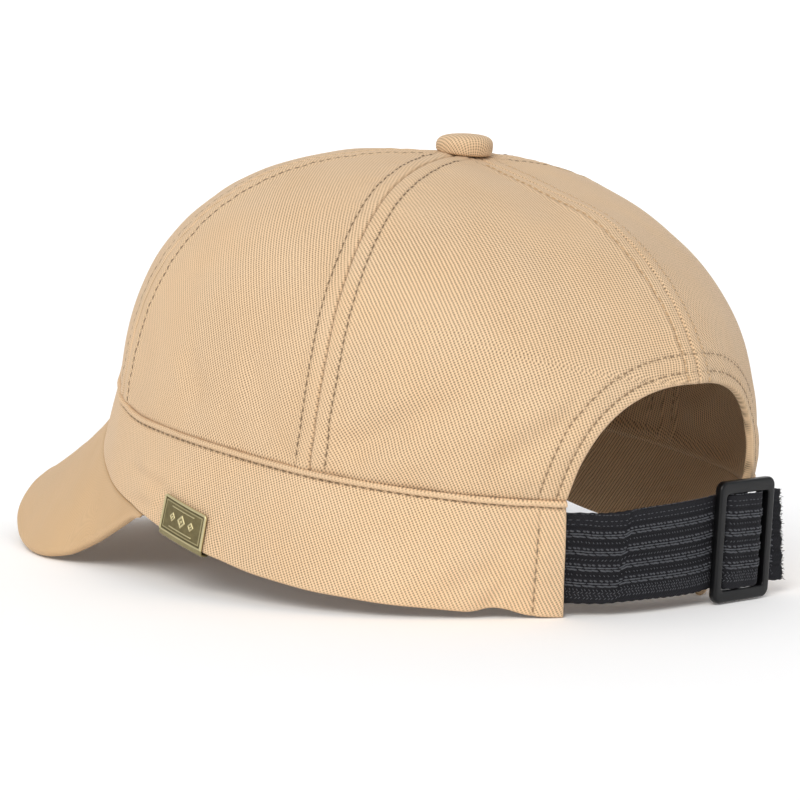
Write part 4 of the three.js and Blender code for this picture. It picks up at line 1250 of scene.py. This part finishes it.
def make_ribbon(name, ribbon, node, frayed_end):
    tall = 27.6
    ns = int(ribbon.length / 0.62)
    s = np.linspace(0, ribbon.length, ns)
    down = spread(tall, (0.0, 0.08, 0.2, 0.35, 0.5, 0.75), (0.0, 0.08, 0.2, 0.35, 0.5, 0.75), 0.42) * tall
    w = 1 - down / tall
    ss, ww = np.meshgrid(s, w, indexing="ij")
    dd = (1 - ww) * tall
    lo, rise, nrm, run = ribbon.frame(s)
    mid = lo[:, None] + rise[:, None] * ww[..., None]
    half = STRAP_THICK / 2
    edge = np.minimum(dd, tall - dd)
    d = np.minimum(edge, half)
    round_ = half - np.sqrt(np.maximum(0, half ** 2 - (half - d) ** 2))
    low = ribbon.shift(ss)
    h = ribbon_height(dd - low, tall, ss)
    face = half - round_ + h * smooth(edge / 0.5)
    doubled = ribbon.swell(ss)
    wob = 0.10 * np.sin(2 * np.pi * ss / 3.1) * (edge < 0.3)
    mid = mid + (wob * np.where(dd < tall / 2, 1, -1))[..., None] * unit(rise)[:, None]
    if frayed_end:
        reach = smooth((ss - (ribbon.length - 3.0)) / 3.0)
        ragged = 0.28 * np.sin(dd * 1.3 + 0.7) + 0.16 * np.sin(dd * 3.7 + 2.0) + 0.12 * np.sin(dd * 7.9)
        mid = mid + (reach * ragged)[..., None] * run[:, None]
    outer = mid + nrm[:, None] * (face + doubled)[..., None]
    inner = mid - nrm[:, None] * face[..., None]
    # painted shade: darker beside the raised stripes and at the step where the webbing is sewn double
    groove = np.zeros(dd.shape)
    if ribbon.step is not None:
        groove = 0.8 * bell((ss - ribbon.free - ribbon.step) / 0.5)
    for c in RIB_GROUPS:
        x = dd - low - c * tall
        groove = np.maximum(groove, bell((np.abs(x) - 1.95) / 0.35))
        groove = np.maximum(groove, 0.8 * bell((np.abs(x) - 0.42) / 0.18))
    cloth = np.stack([ss, dd], -1)
    painted_shade_and_wear = np.stack([groove, 0 * groove], -1)
    wall_mesh(name, outer, inner, "elastic", cloth, painted_shade_and_wear, replaces=(node,))


def tubes(paths, normals, radius, ring=6, flat=1.0):
    """Many short tubes: paths (S, K, 3), normals (S, K, 3). Returns vertices, quads, and local (s, r)."""
    S, K = paths.shape[:2]
    run = np.empty_like(paths)
    run[:, 1:-1] = paths[:, 2:] - paths[:, :-2]
    run[:, 0], run[:, -1] = paths[:, 1] - paths[:, 0], paths[:, -1] - paths[:, -2]
    run = unit(run)
    side = unit(np.cross(run, normals))
    up = np.cross(side, run)
    ang = 2 * np.pi * np.arange(ring) / ring
    rad = np.asarray(radius) * np.ones((S, K))
    rad = rad.copy()
    rad[:, 0] *= 0.45
    rad[:, -1] *= 0.45
    v = (paths[:, :, None] + side[:, :, None] * (np.cos(ang)[:, None] * rad[:, :, None, None])
         + up[:, :, None] * (np.sin(ang)[:, None] * flat * rad[:, :, None, None]))
    at = np.arange(S * K * ring).reshape(S, K, ring)
    nxt = np.roll(at, -1, axis=2)
    quads = np.stack([at[:, :-1], nxt[:, :-1], nxt[:, 1:], at[:, 1:]], -1).reshape(-1, 4)
    caps = []
    if ring == 6:
        for end, flip in ((0, False), (K - 1, True)):
            c = at[:, end]
            q = np.concatenate([c[:, [0, 3, 2, 1]], c[:, [0, 5, 4, 3]]])
            caps.append(q[:, ::-1] if flip else q)
    else:
        for end, flip in ((0, False), (K - 1, True)):
            q = at[:, end][:, [0, 3, 2, 1]]
            caps.append(q[:, ::-1] if flip else q)
    quads = np.concatenate([quads] + caps)
    step = np.linalg.norm(np.diff(paths, axis=1), axis=2)
    s = np.concatenate([np.zeros((S, 1)), np.cumsum(step, 1)], 1)
    local = np.zeros((S, K, ring, 3))
    local[..., 0] = s[:, :, None]
    local[..., 1] = (np.arange(ring) / ring)[None, None]
    local[..., 2] = 1
    return v.reshape(-1, 3), quads, local.reshape(-1, 3)


def rib_threads(name, ribbon, until, slot="elastic"):
    """Rubber cords and dashed floats that stand on the webbing."""
    parts = []
    tall = 27.6
    dn = np.linspace(-1, 1, 5)
    rows = [(c * tall + row, pitch, length, rad, 0.14 if m != 1 else 0.0, 0.17)
            for c in RIB_GROUPS for m, (row, pitch, length, rad) in enumerate(RIB_ROWS)]
    faint = [(c * tall, pitch, length, rad, slant, 0.0) for c, pitch, length, rad, slant in FAINT_ROWS]
    for face in (1, -1):
        for g, (down, pitch, length, rad, slant, bed) in enumerate(rows + (faint if face > 0 else [])):
            start = 0.3 + ((0.37 * g) % 1) * pitch
            centres = np.arange(start + length / 2, until - length / 2, pitch)
            if not len(centres):
                continue
            centres = centres + 0.12 * pitch * np.sin(np.arange(len(centres)) * 2.4 + g)
            s = centres[:, None] + dn[None] * length / 2
            lift = (STRAP_THICK / 2 + bed + 0.35 * rad) * np.ones_like(dn) - 0.75 * rad * dn ** 4
            w = 1 - (down + ribbon.shift(s) + slant * dn) / tall
            shape = s.shape
            off = face * lift + (ribbon.swell(s) if face > 0 else 0)
            p = ribbon.at(s.ravel(), w.ravel(), np.broadcast_to(off, shape).ravel()).reshape(*shape, 3)
            nrm = (ribbon.frame(s.ravel())[2] * face).reshape(*shape, 3)
            parts.append(tubes(p, nrm, rad, flat=0.8))
    verts = np.concatenate([p[0] for p in parts])
    base = np.cumsum([0] + [len(p[0]) for p in parts[:-1]])
    quads = np.concatenate([p[1] + b for p, b in zip(parts, base)])
    local = np.concatenate([p[2] for p in parts])
    order = np.repeat(np.arange(len(verts) // 30), 30)[: len(verts)]
    local[:, 0] += (order * 3.7) % 50
    local[:, 1] += (order * 1.3) % 20
    make_mesh(name, verts, quads, slot, (), local, None, material="rib")


def frayed(name, ribbon):
    """Loose thread ends along the strap's cut end."""
    tall, count = 27.6, 150
    k = np.arange(count)
    down = (k + 0.5) / count * (tall - 0.6) + 0.3 + 0.12 * np.sin(k * 2.4)
    length = 0.75 + 0.5 * np.sin(k * 1.9) ** 2 + 0.35 * np.sin(k * 0.77 + 1)
    side = 0.35 * np.sin(k * 5.1)
    bend = 0.55 * np.sin(k * 3.3 + 0.4)
    d = np.linspace(0, 1, 5)
    s0 = np.full(count, ribbon.length)
    lo, rise, nrm, run = ribbon.frame(s0)
    w = 1 - down / tall
    root = lo + rise * w[:, None] + nrm * side[:, None] - run * 0.9
    path = (root[:, None] + run[:, None] * ((length + 0.9)[:, None] * d)[..., None]
            + unit(rise)[:, None] * (bend[:, None] * d ** 2)[..., None] + nrm[:, None] * ((0.4 * np.cos(k * 2.2))[:, None] * d ** 2)[..., None])
    normals = np.broadcast_to(nrm[:, None], path.shape)
    v, q, local = tubes(path, normals, 0.085)
    make_mesh(name, v, q, "elastic", (), local, None, material="elastic")


strap = Ribbon(sewn([37, 33.5, 30, 27.6], 1, 3.9, 31.5) + [station(r) for r in STRAP_RUN], RIB_SHIFT, 15.4)
anchor = Ribbon(sewn([37, 33.5, 30, 27.6], -1, 4.1, 31.7) + [station(r) for r in ANCHOR_RUN])
make_ribbon("strap", strap, "strap", True)
make_ribbon("strap_anchor", anchor, "strap_anchor", False)
frayed("strap_fray", strap)
rib_threads("strap_ribs", strap, strap.length - 3.0)
rib_threads("anchor_ribs", anchor, anchor.length)


# ---- slider ---------------------------------------------------------------------------------------
def rounded_rect(w, h, r, per=9):
    pts = []
    for cx, cy, a0 in ((w / 2 - r, h / 2 - r, 0), (-w / 2 + r, h / 2 - r, 90), (-w / 2 + r, -h / 2 + r, 180), (w / 2 - r, -h / 2 + r, 270)):
        for k in range(per):
            a = (a0 + 90 * k / (per - 1)) * RAD
            pts.append((cx + r * math.cos(a), cy + r * math.sin(a)))
    return np.array(pts)


def slider_place(p):
    """From the slider's own axes (x right seen from the back, y outwards, z up) to the cap's."""
    a = math.atan(SLIDER["lean"])
    c, s = math.cos(a), math.sin(a)
    x, y, z = -p[:, 0], p[:, 1] * c - p[:, 2] * s, p[:, 1] * s + p[:, 2] * c
    return np.stack([x + SLIDER["x"], y + SLIDER["front"] - SLIDER["thick"], z + (SLIDER["low"] + SLIDER["high"]) / 2], -1)


def make_slider():
    w, tall, th = SLIDER["width"], SLIDER["high"] - SLIDER["low"], SLIDER["thick"]
    hole_w = w - 2 * SLIDER["side"]
    hole_h = tall - SLIDER["top"] - SLIDER["bottom"]
    shift = (SLIDER["bottom"] - SLIDER["top"]) / 2
    per = 10

    def outer(inset):
        return rounded_rect(w - 2 * inset, tall - 2 * inset, max(0.3, SLIDER["corner"] - inset), per)

    def inner(out):
        q = rounded_rect(hole_w + 2 * out, hole_h + 2 * out, 1.1 + out, per)
        q[:, 1] += shift
        return q
    b, back_round = 0.8, 1.2
    loops = []
    arcs = np.linspace(0, 90, 6) * RAD
    for a in arcs:  # back edge, outside
        loops.append((outer(back_round * (1 - math.sin(a))), back_round * (1 - math.cos(a))))
    for a in arcs:  # front edge, outside
        loops.append((outer(b * (1 - math.cos(a))), th - b * (1 - math.sin(a))))
    for a in arcs:  # front edge of the window
        loops.append((inner(0.5 * (1 - math.sin(a))), th - 0.5 * (1 - math.cos(a))))
    for a in arcs:  # back edge of the window
        loops.append((inner(0.35 * (1 - math.cos(a))), 0.35 * (1 - math.sin(a))))
    n = 4 * per
    verts = np.concatenate([np.stack([q[:, 0], np.full(n, y), q[:, 1]], -1) for q, y in loops])
    quads = []
    for k in range(len(loops)):
        m = (k + 1) % len(loops)
        for i in range(n):
            j = (i + 1) % n
            quads.append([k * n + i, k * n + j, m * n + j, m * n + i])
    # the bar that holds the anchor loop, set back and rounded
    ring = 16
    bw, bt = SLIDER["bar"], SLIDER["bar_thick"]
    ang = 2 * np.pi * np.arange(ring) / ring
    cx = np.sign(np.cos(ang)) * np.abs(np.cos(ang)) ** 0.6 * bw / 2
    cy = np.sign(np.sin(ang)) * np.abs(np.sin(ang)) ** 0.6 * bt / 2 + bt / 2 - 0.9
    zs = np.linspace(-tall / 2 + 1.6, tall / 2 - 1.4, 24)
    flare = 1 + 0.18 * bell((zs - zs[0] - 1.6) / 1.2) + 0.18 * bell((zs - zs[-1] + 1.4) / 1.2)
    start = len(verts)
    bar = np.concatenate([np.stack([cx * k, cy, np.full(ring, z)], -1) for z, k in zip(zs, flare)])
    bq = []
    for k in range(len(zs) - 1):
        for i in range(ring):
            j = (i + 1) % ring
            bq.append([start + k * ring + i, start + k * ring + j, start + (k + 1) * ring + j, start + (k + 1) * ring + i])
    for k, flip in ((0, True), (len(zs) - 1, False)):
        base = start + k * ring
        for i in range(0, ring // 2 - 1):
            q = [base + i, base + i + 1, base + ring - 2 - i, base + ring - 1 - i]
            bq.append(q[::-1] if flip else q)
    verts = slider_place(np.concatenate([verts, bar]))
    ob = make_mesh("slider", verts, quads + bq, "plastic", ("slider",))
    me = ob.data
    # make all faces point outwards
    import bmesh
    bm = bmesh.new()
    bm.from_mesh(me)
    bmesh.ops.recalc_face_normals(bm, faces=bm.faces)
    bm.to_mesh(me)
    bm.free()
    return ob


make_slider()


# ---- brass tag -----------------------------------------------------------------------------------------
def make_tag():
    s, tall, flap = TAG["thick"], TAG["height"], TAG["flap"]
    near = 0.3
    wide = float(np.linalg.norm(band_point(np.array(TAG["first"]), np.array(0.2)) - band_point(np.array(TAG["last"]), np.array(0.2))))
    # path of the metal's outer face, from the top of the front plate round the rim to the inner flap
    path = [(near + s, -tall), (near + s, -0.2), (near + s - 0.25, near + s - 0.45), (near + s - 0.75, near + s - 0.1),
            (0.2, near + s), (-1.2, near + s), (-CLOTH - near - s + 0.75, near + s - 0.1),
            (-CLOTH - near - s + 0.25, near + s - 0.45), (-CLOTH - near - s, -0.2), (-CLOTH - near - s, -flap)]
    path = np.array(path)
    seg = np.concatenate([[0], np.cumsum(np.linalg.norm(np.diff(path, axis=0), axis=1))])
    front = seg[1]
    rows = np.unique(np.concatenate([np.linspace(0, 1.4, 12), np.linspace(1.4, front - 1.0, 78), np.linspace(front - 1.0, front, 8),
                                     np.linspace(front, seg[8], 30), np.linspace(seg[8], seg[-1], 10)]))
    cols = np.unique(np.concatenate([np.linspace(0, 1.4, 12), np.linspace(1.4, wide - 1.4, 120), np.linspace(wide - 1.4, wide, 12)]))
    cc, rr = np.meshgrid(cols, rows, indexing="ij")
    out = np.interp(rr, seg, path[:, 0])
    down = np.interp(rr, seg, path[:, 1])
    a = TAG["first"] + (TAG["last"] - TAG["first"]) * cc / wide
    length = np.linalg.norm(band_point(a, np.ones(a.shape)) - band_point(a, np.zeros(a.shape)), axis=-1)
    # direction across the sheet
    d_out = np.gradient(out, axis=1)
    d_down = np.gradient(down, axis=1)
    nn = np.hypot(d_out, d_down)
    n_out, n_down = d_down / nn, -d_out / nn
    flip = np.where(rr <= front, np.sign(n_out), 1)
    n_out, n_down = np.where(rr <= front, 1.0, n_out), np.where(rr <= front, 0.0, n_down)
    y = rr            # distance below the plate's top
    on = smooth((front - 0.2 - y) / 0.3)
    ex = np.minimum(cc, wide - cc)
    ey = np.minimum(y, front - y)
    e = np.minimum(ex, ey)
    raised = smooth((0.85 - e) / 0.2)
    # fine inner line
    line = bell((e - 1.5) / 0.12)
    # three diamonds between two short bars
    cx, cy = wide / 2, front / 2
    motif = np.zeros(cc.shape)
    for k in (-1, 0, 1):
        size = 2.1 if k == 0 else 1.5
        d = np.abs(cc - cx - k * 4.3) / 0.9 + np.abs(y - cy)
        motif = np.maximum(motif, smooth((size - d) / 0.2) * (1 - 0.85 * smooth((size * 0.62 - d) / 0.2)))
        motif = np.maximum(motif, smooth((size * 0.3 - d) / 0.2))
    for k in (-1, 1):
        bar = smooth((0.22 - np.abs(y - cy - k * 3.0)) / 0.12) * smooth((5.4 - np.abs(cc - cx)) / 0.3)
        motif = np.maximum(motif, bar)
    relief = on * (0.30 * raised + 0.16 * line + 0.26 * motif - 0.12)
    corner = 1.1
    dx, dy = np.maximum(0, corner - ex), np.maximum(0, corner - y)
    # round the two upper corners by pulling points in
    rr2 = np.hypot(dx, dy)
    scale = np.where((dx > 0) & (dy > 0), np.minimum(1, corner * np.maximum(dx, dy) / np.maximum(rr2, 1e-9) / corner), 1.0)
    pull_x, pull_y = dx * (1 - scale), dy * (1 - scale)
    cshift = np.where(cc < wide / 2, pull_x, -pull_x)
    a = a + (TAG["last"] - TAG["first"]) * cshift / wide
    down2 = down + np.where(rr <= front, pull_y, 0)
    edge_round = 0.3 - np.sqrt(np.maximum(0, 0.3 ** 2 - (0.3 - np.minimum(np.minimum(ex, y), 0.3)) ** 2))
    half = 0.35
    o1, w1 = out + n_out * (relief - edge_round), down2 + n_down * (relief - edge_round)
    o2, w2 = out - n_out * (0.7 - edge_round * 0.9), down2 - n_down * (0.7 - edge_round * 0.9)
    outer = band(a, -w1 / length, o1)
    inner = band(a, -w2 / length, o2)
    wear = on * np.clip(0.95 * raised + 0.8 * line + 0.95 * motif, 0, 1) + (1 - on) * 0.2
    shade = on * np.clip(bell((e - 1.0) / 0.12) + 0.0 * motif, 0, 1)
    # darker along the foot of the raised border; the motif adds none
    cloth = np.stack([cc, -y], -1)
    painted_shade_and_wear = np.stack([shade, wear], -1)
    wall_mesh("tag", outer, inner, "brass", cloth, painted_shade_and_wear, replaces=("tag",))


make_tag()


# ---- stitching ---------------------------------------------------------------------------------------------
def crown_stitch_path(t, u, distance, direction):
    """Curve on the crown at a distance beside the curve (t, u); direction +1 is towards growing t."""
    t, u = t.copy(), u.copy()
    steps = 4
    for _ in range(steps):
        p = crown(t, u)
        dt = (crown(t + 0.05, u) - p) / 0.05
        du = (crown(t, u + 0.0005) - p) / 0.0005
        tangent = np.gradient(p, axis=0)
        n = crown_normal(t, u)
        side = unit(np.cross(n, tangent)) * direction
        want = side * (distance / steps)
        # least squares in the tangent plane
        a11, a12, a22 = (dt * dt).sum(1), (dt * du).sum(1), (du * du).sum(1)
        b1, b2 = (dt * want).sum(1), (du * want).sum(1)
        det = a11 * a22 - a12 ** 2
        t = t + (b1 * a22 - b2 * a12) / det
        u = u + (a11 * b2 - a12 * b1) / det
    return t, u


def stitches(points, normals, pitch, length, tone_and_painted_light, sink=0.30, lift=0.10, phase=0.5, radius=THREAD, lean=0.0):
    along = length_along(points)
    count = int((along[-1] - length) / pitch)
    if count < 1:
        return None
    centres = phase * pitch + np.arange(count) * pitch + 0.12 * np.sin(np.arange(count) * 2.399)
    centres = centres[centres < along[-1] - length / 2]
    d = np.linspace(-1, 1, 5)
    s = centres[:, None] + d[None] * length / 2
    p = np.stack([np.interp(s, along, points[:, k]) for k in range(3)], -1)
    n = unit(np.stack([np.interp(s, along, normals[:, k]) for k in range(3)], -1))
    run = unit(np.gradient(p, axis=1))
    side = np.cross(run, n)
    p = p + n * (lift - (lift + sink) * d ** 4)[None, :, None] + side * (lean * d)[None, :, None]
    v, q, local = tubes(p, n, radius, flat=0.9)
    local[:, 2] = tone_and_painted_light
    order = np.repeat(np.arange(len(v) // 30), 30)
    local[:, 0] += order * 1.7 % 9
    return v, q, local


def joined(name, parts, slot="twill", material="thread"):
    parts = [p for p in parts if p is not None]
    verts = np.concatenate([p[0] for p in parts])
    base = np.cumsum([0] + [len(p[0]) for p in parts[:-1]])
    quads = np.concatenate([p[1] + b for p, b in zip(parts, base)])
    local = np.concatenate([p[2] for p in parts])
    return make_mesh(name, verts, quads, slot, (), local, None, material=material)


crown_parts, inside_parts = [], []
for n, (curve, t, u) in enumerate(SEAM_CURVES):
    last = plan_radius(t, u) > 8.6
    t, u = t[last], u[last]
    # painted light and shade on the thread: the back centre seam's rows are painted lighter, the other seams' rows
    # darker, as if shaded in their grooves
    bright = 1.9 if n == 0 else 0.72
    for direction in (1, -1):
        tt, uu = crown_stitch_path(t, u, SEAM_ROW, direction)
        ok = (uu > 0.004) if n else np.ones(len(uu), bool)
        tt, uu = tt[ok], uu[ok]
        base = crown(tt, uu)
        h = crown_relief(base)[0]
        nrm = crown_normal(tt, uu)
        crown_parts.append(stitches(base + nrm * h[:, None], nrm, PITCH_CROWN, 2.0, bright, phase=0.5 + 0.2 * direction))
        inside_parts.append(stitches((base - nrm * (CLOTH + 0.72))[::-1], -nrm[::-1], PITCH_CROWN, 2.0, 1.2))
for row, phase in zip(HEM_ROWS, (0.4, 0.7)):
    # away from the opening
    tt, uu = crown_stitch_path(ARCH_T, ARCH_U, row, 1)
    probe = crown(tt[len(tt) // 2], uu[len(uu) // 2])
    if probe[2] < ARCH_CURVE[len(tt) // 2, 2]:
        tt, uu = crown_stitch_path(ARCH_T, ARCH_U, row, -1)
    ok = uu > 0.004
    tt, uu = tt[ok], uu[ok]
    base = crown(tt, uu)
    h = crown_relief(base)[0]
    nrm = crown_normal(tt, uu)
    crown_parts.append(stitches(base + nrm * h[:, None], nrm, PITCH_CROWN, 2.0, 1.0, phase=phase))
    inside_parts.append(stitches((base - nrm * (CLOTH + 0.72))[::-1], -nrm[::-1], PITCH_CROWN, 2.0, 1.2))
joined("crown_stitches", crown_parts)
joined("crown_inside_stitches", inside_parts)


def band_curve(a, e=None, rim=None):
    lo, hi = band_point(a, np.zeros(a.shape)), band_point(a, np.ones(a.shape))
    tall = np.linalg.norm(hi - lo, axis=-1)
    height = tall + 0.75
    e = height - rim if e is None else e + 0 * a
    v = (height - e) / tall
    return band_point(a, v), band_normal(a, np.clip(v, 0, 1)), v, height - e, e


band_parts = []
a = np.linspace(BAND_END_LIP + 0.6, 360 - BAND_END_LIP - 0.6, 2400)
p, nrm, v, rim, e = band_curve(a, e=LIP_ROW)
along = np.interp(a, np.linspace(BAND_END_LIP, 360 - BAND_END_LIP, 1400), band_length)
h = band_relief(p, e, rim, np.minimum(along, BAND_TOTAL - along), along)[0]
band_parts.append(stitches(p + nrm * h[:, None], nrm, PITCH_LIP, 1.9, 0.92, sink=0.32, lift=0.08, phase=0.5, lean=0.14, radius=0.25))
for side in (1, -1):
    zz = np.linspace(1.2, 33.0, 120)
    target = END_ROW
    at = target if side > 0 else BAND_TOTAL - target
    ang = np.full(zz.shape, np.interp(at, band_length, np.linspace(BAND_END_LIP, 360 - BAND_END_LIP, 1400)))
    p, nrm, v, rim, e = band_curve(ang, rim=zz)
    h = band_relief(p, e, rim, np.full(zz.shape, END_ROW), np.full(zz.shape, at))[0]
    band_parts.append(stitches(p + nrm * h[:, None], nrm, 3.1, 2.3, 0.95, phase=0.3))
joined("band_stitches", band_parts)

# ---- camera, light and ground -------------------------------------------------------------------------------
scene = bpy.context.scene
cam_data = bpy.data.cameras.new("camera")
cam_data.sensor_width = 36
cam_data.sensor_fit = "HORIZONTAL"
cam_data.lens = 165.101665
cam_data.clip_start, cam_data.clip_end = 0.05, 50
cam = bpy.data.objects.new("camera", cam_data)
forward = Vector((-0.724613964, -0.681853436, -0.100052463))
right = Vector((-0.68633726, 0.727120538, 0.015391185))
upward = right.cross(forward)
m = Matrix.Identity(4)
for i in range(3):
    m[i][0], m[i][1], m[i][2] = right[i], upward[i], -forward[i]
m.translation = Vector((0.8142297137, 0.7858979539, 0.1652575629))
cam.matrix_world = m
scene.collection.objects.link(cam)
scene.camera = cam


def stage_floor():
    """A pale floor that curves up into a backdrop far behind."""
    n, m = 24, 48
    verts, quads = [], []
    profile = [(-4.0, 0), (4.2, 0)]
    for k in range(1, 13):
        a = math.radians(90 * k / 12)
        profile.append((4.2 + 1.6 * math.sin(a), 1.6 * (1 - math.cos(a))))
    profile.append((5.8, 6.0))
    along = Vector((forward.x, forward.y, 0)).normalized()
    across = Vector((-along.y, along.x, 0))
    for d, z in profile:
        for s in (-6.0, 6.0):
            p = along * d + across * s
            verts.append((p.x, p.y, z))
    for i in range(len(profile) - 1):
        quads.append((2 * i, 2 * i + 1, 2 * i + 3, 2 * i + 2))
    me = bpy.data.meshes.new("floor")
    me.from_pydata(verts, [], quads)
    me.polygons.foreach_set("use_smooth", [True] * len(quads))
    ob = bpy.data.objects.new("floor", me)
    scene.collection.objects.link(ob)
    k = Nodes("floor")
    pos = k.position()
    soft = k.noise(pos, 1.5, 2.0)
    k.link(k.mixc(soft, (0.975, 0.975, 0.975, 1), (0.985, 0.985, 0.985, 1)), k.bsdf.inputs["Base Color"])
    k.bsdf.inputs["Roughness"].default_value = 0.9
    k.bsdf.inputs["Specular IOR Level"].default_value = 0.1
    k.bsdf.inputs["Emission Color"].default_value = (1, 1, 1, 1)
    k.bsdf.inputs["Emission Strength"].default_value = 0.06
    me.materials.append(k.mat)


stage_floor()


sun_data = bpy.data.lights.new("sun", "SUN")
sun_data.energy = 1.95
sun_data.angle = math.radians(30)
sun_data.color = (1.0, 0.965, 0.91)
sun = bpy.data.objects.new("sun", sun_data)
sun.location = (0.66, 0.24, 0.7)
sun.rotation_mode = "QUATERNION"
sun.rotation_quaternion = Vector((-0.723, -0.385, -0.574)).to_track_quat("-Z", "Y")
scene.collection.objects.link(sun)
world = bpy.data.worlds.new("studio")
world.use_nodes = True
bg = world.node_tree.nodes["Background"]
bg.inputs[0].default_value = (0.955, 0.985, 1.04, 1)
bg.inputs[1].default_value = 0.6
scene.world = world
scene.view_settings.view_transform = "Standard"
scene.view_settings.look = "None"
scene.view_settings.exposure = 0.0
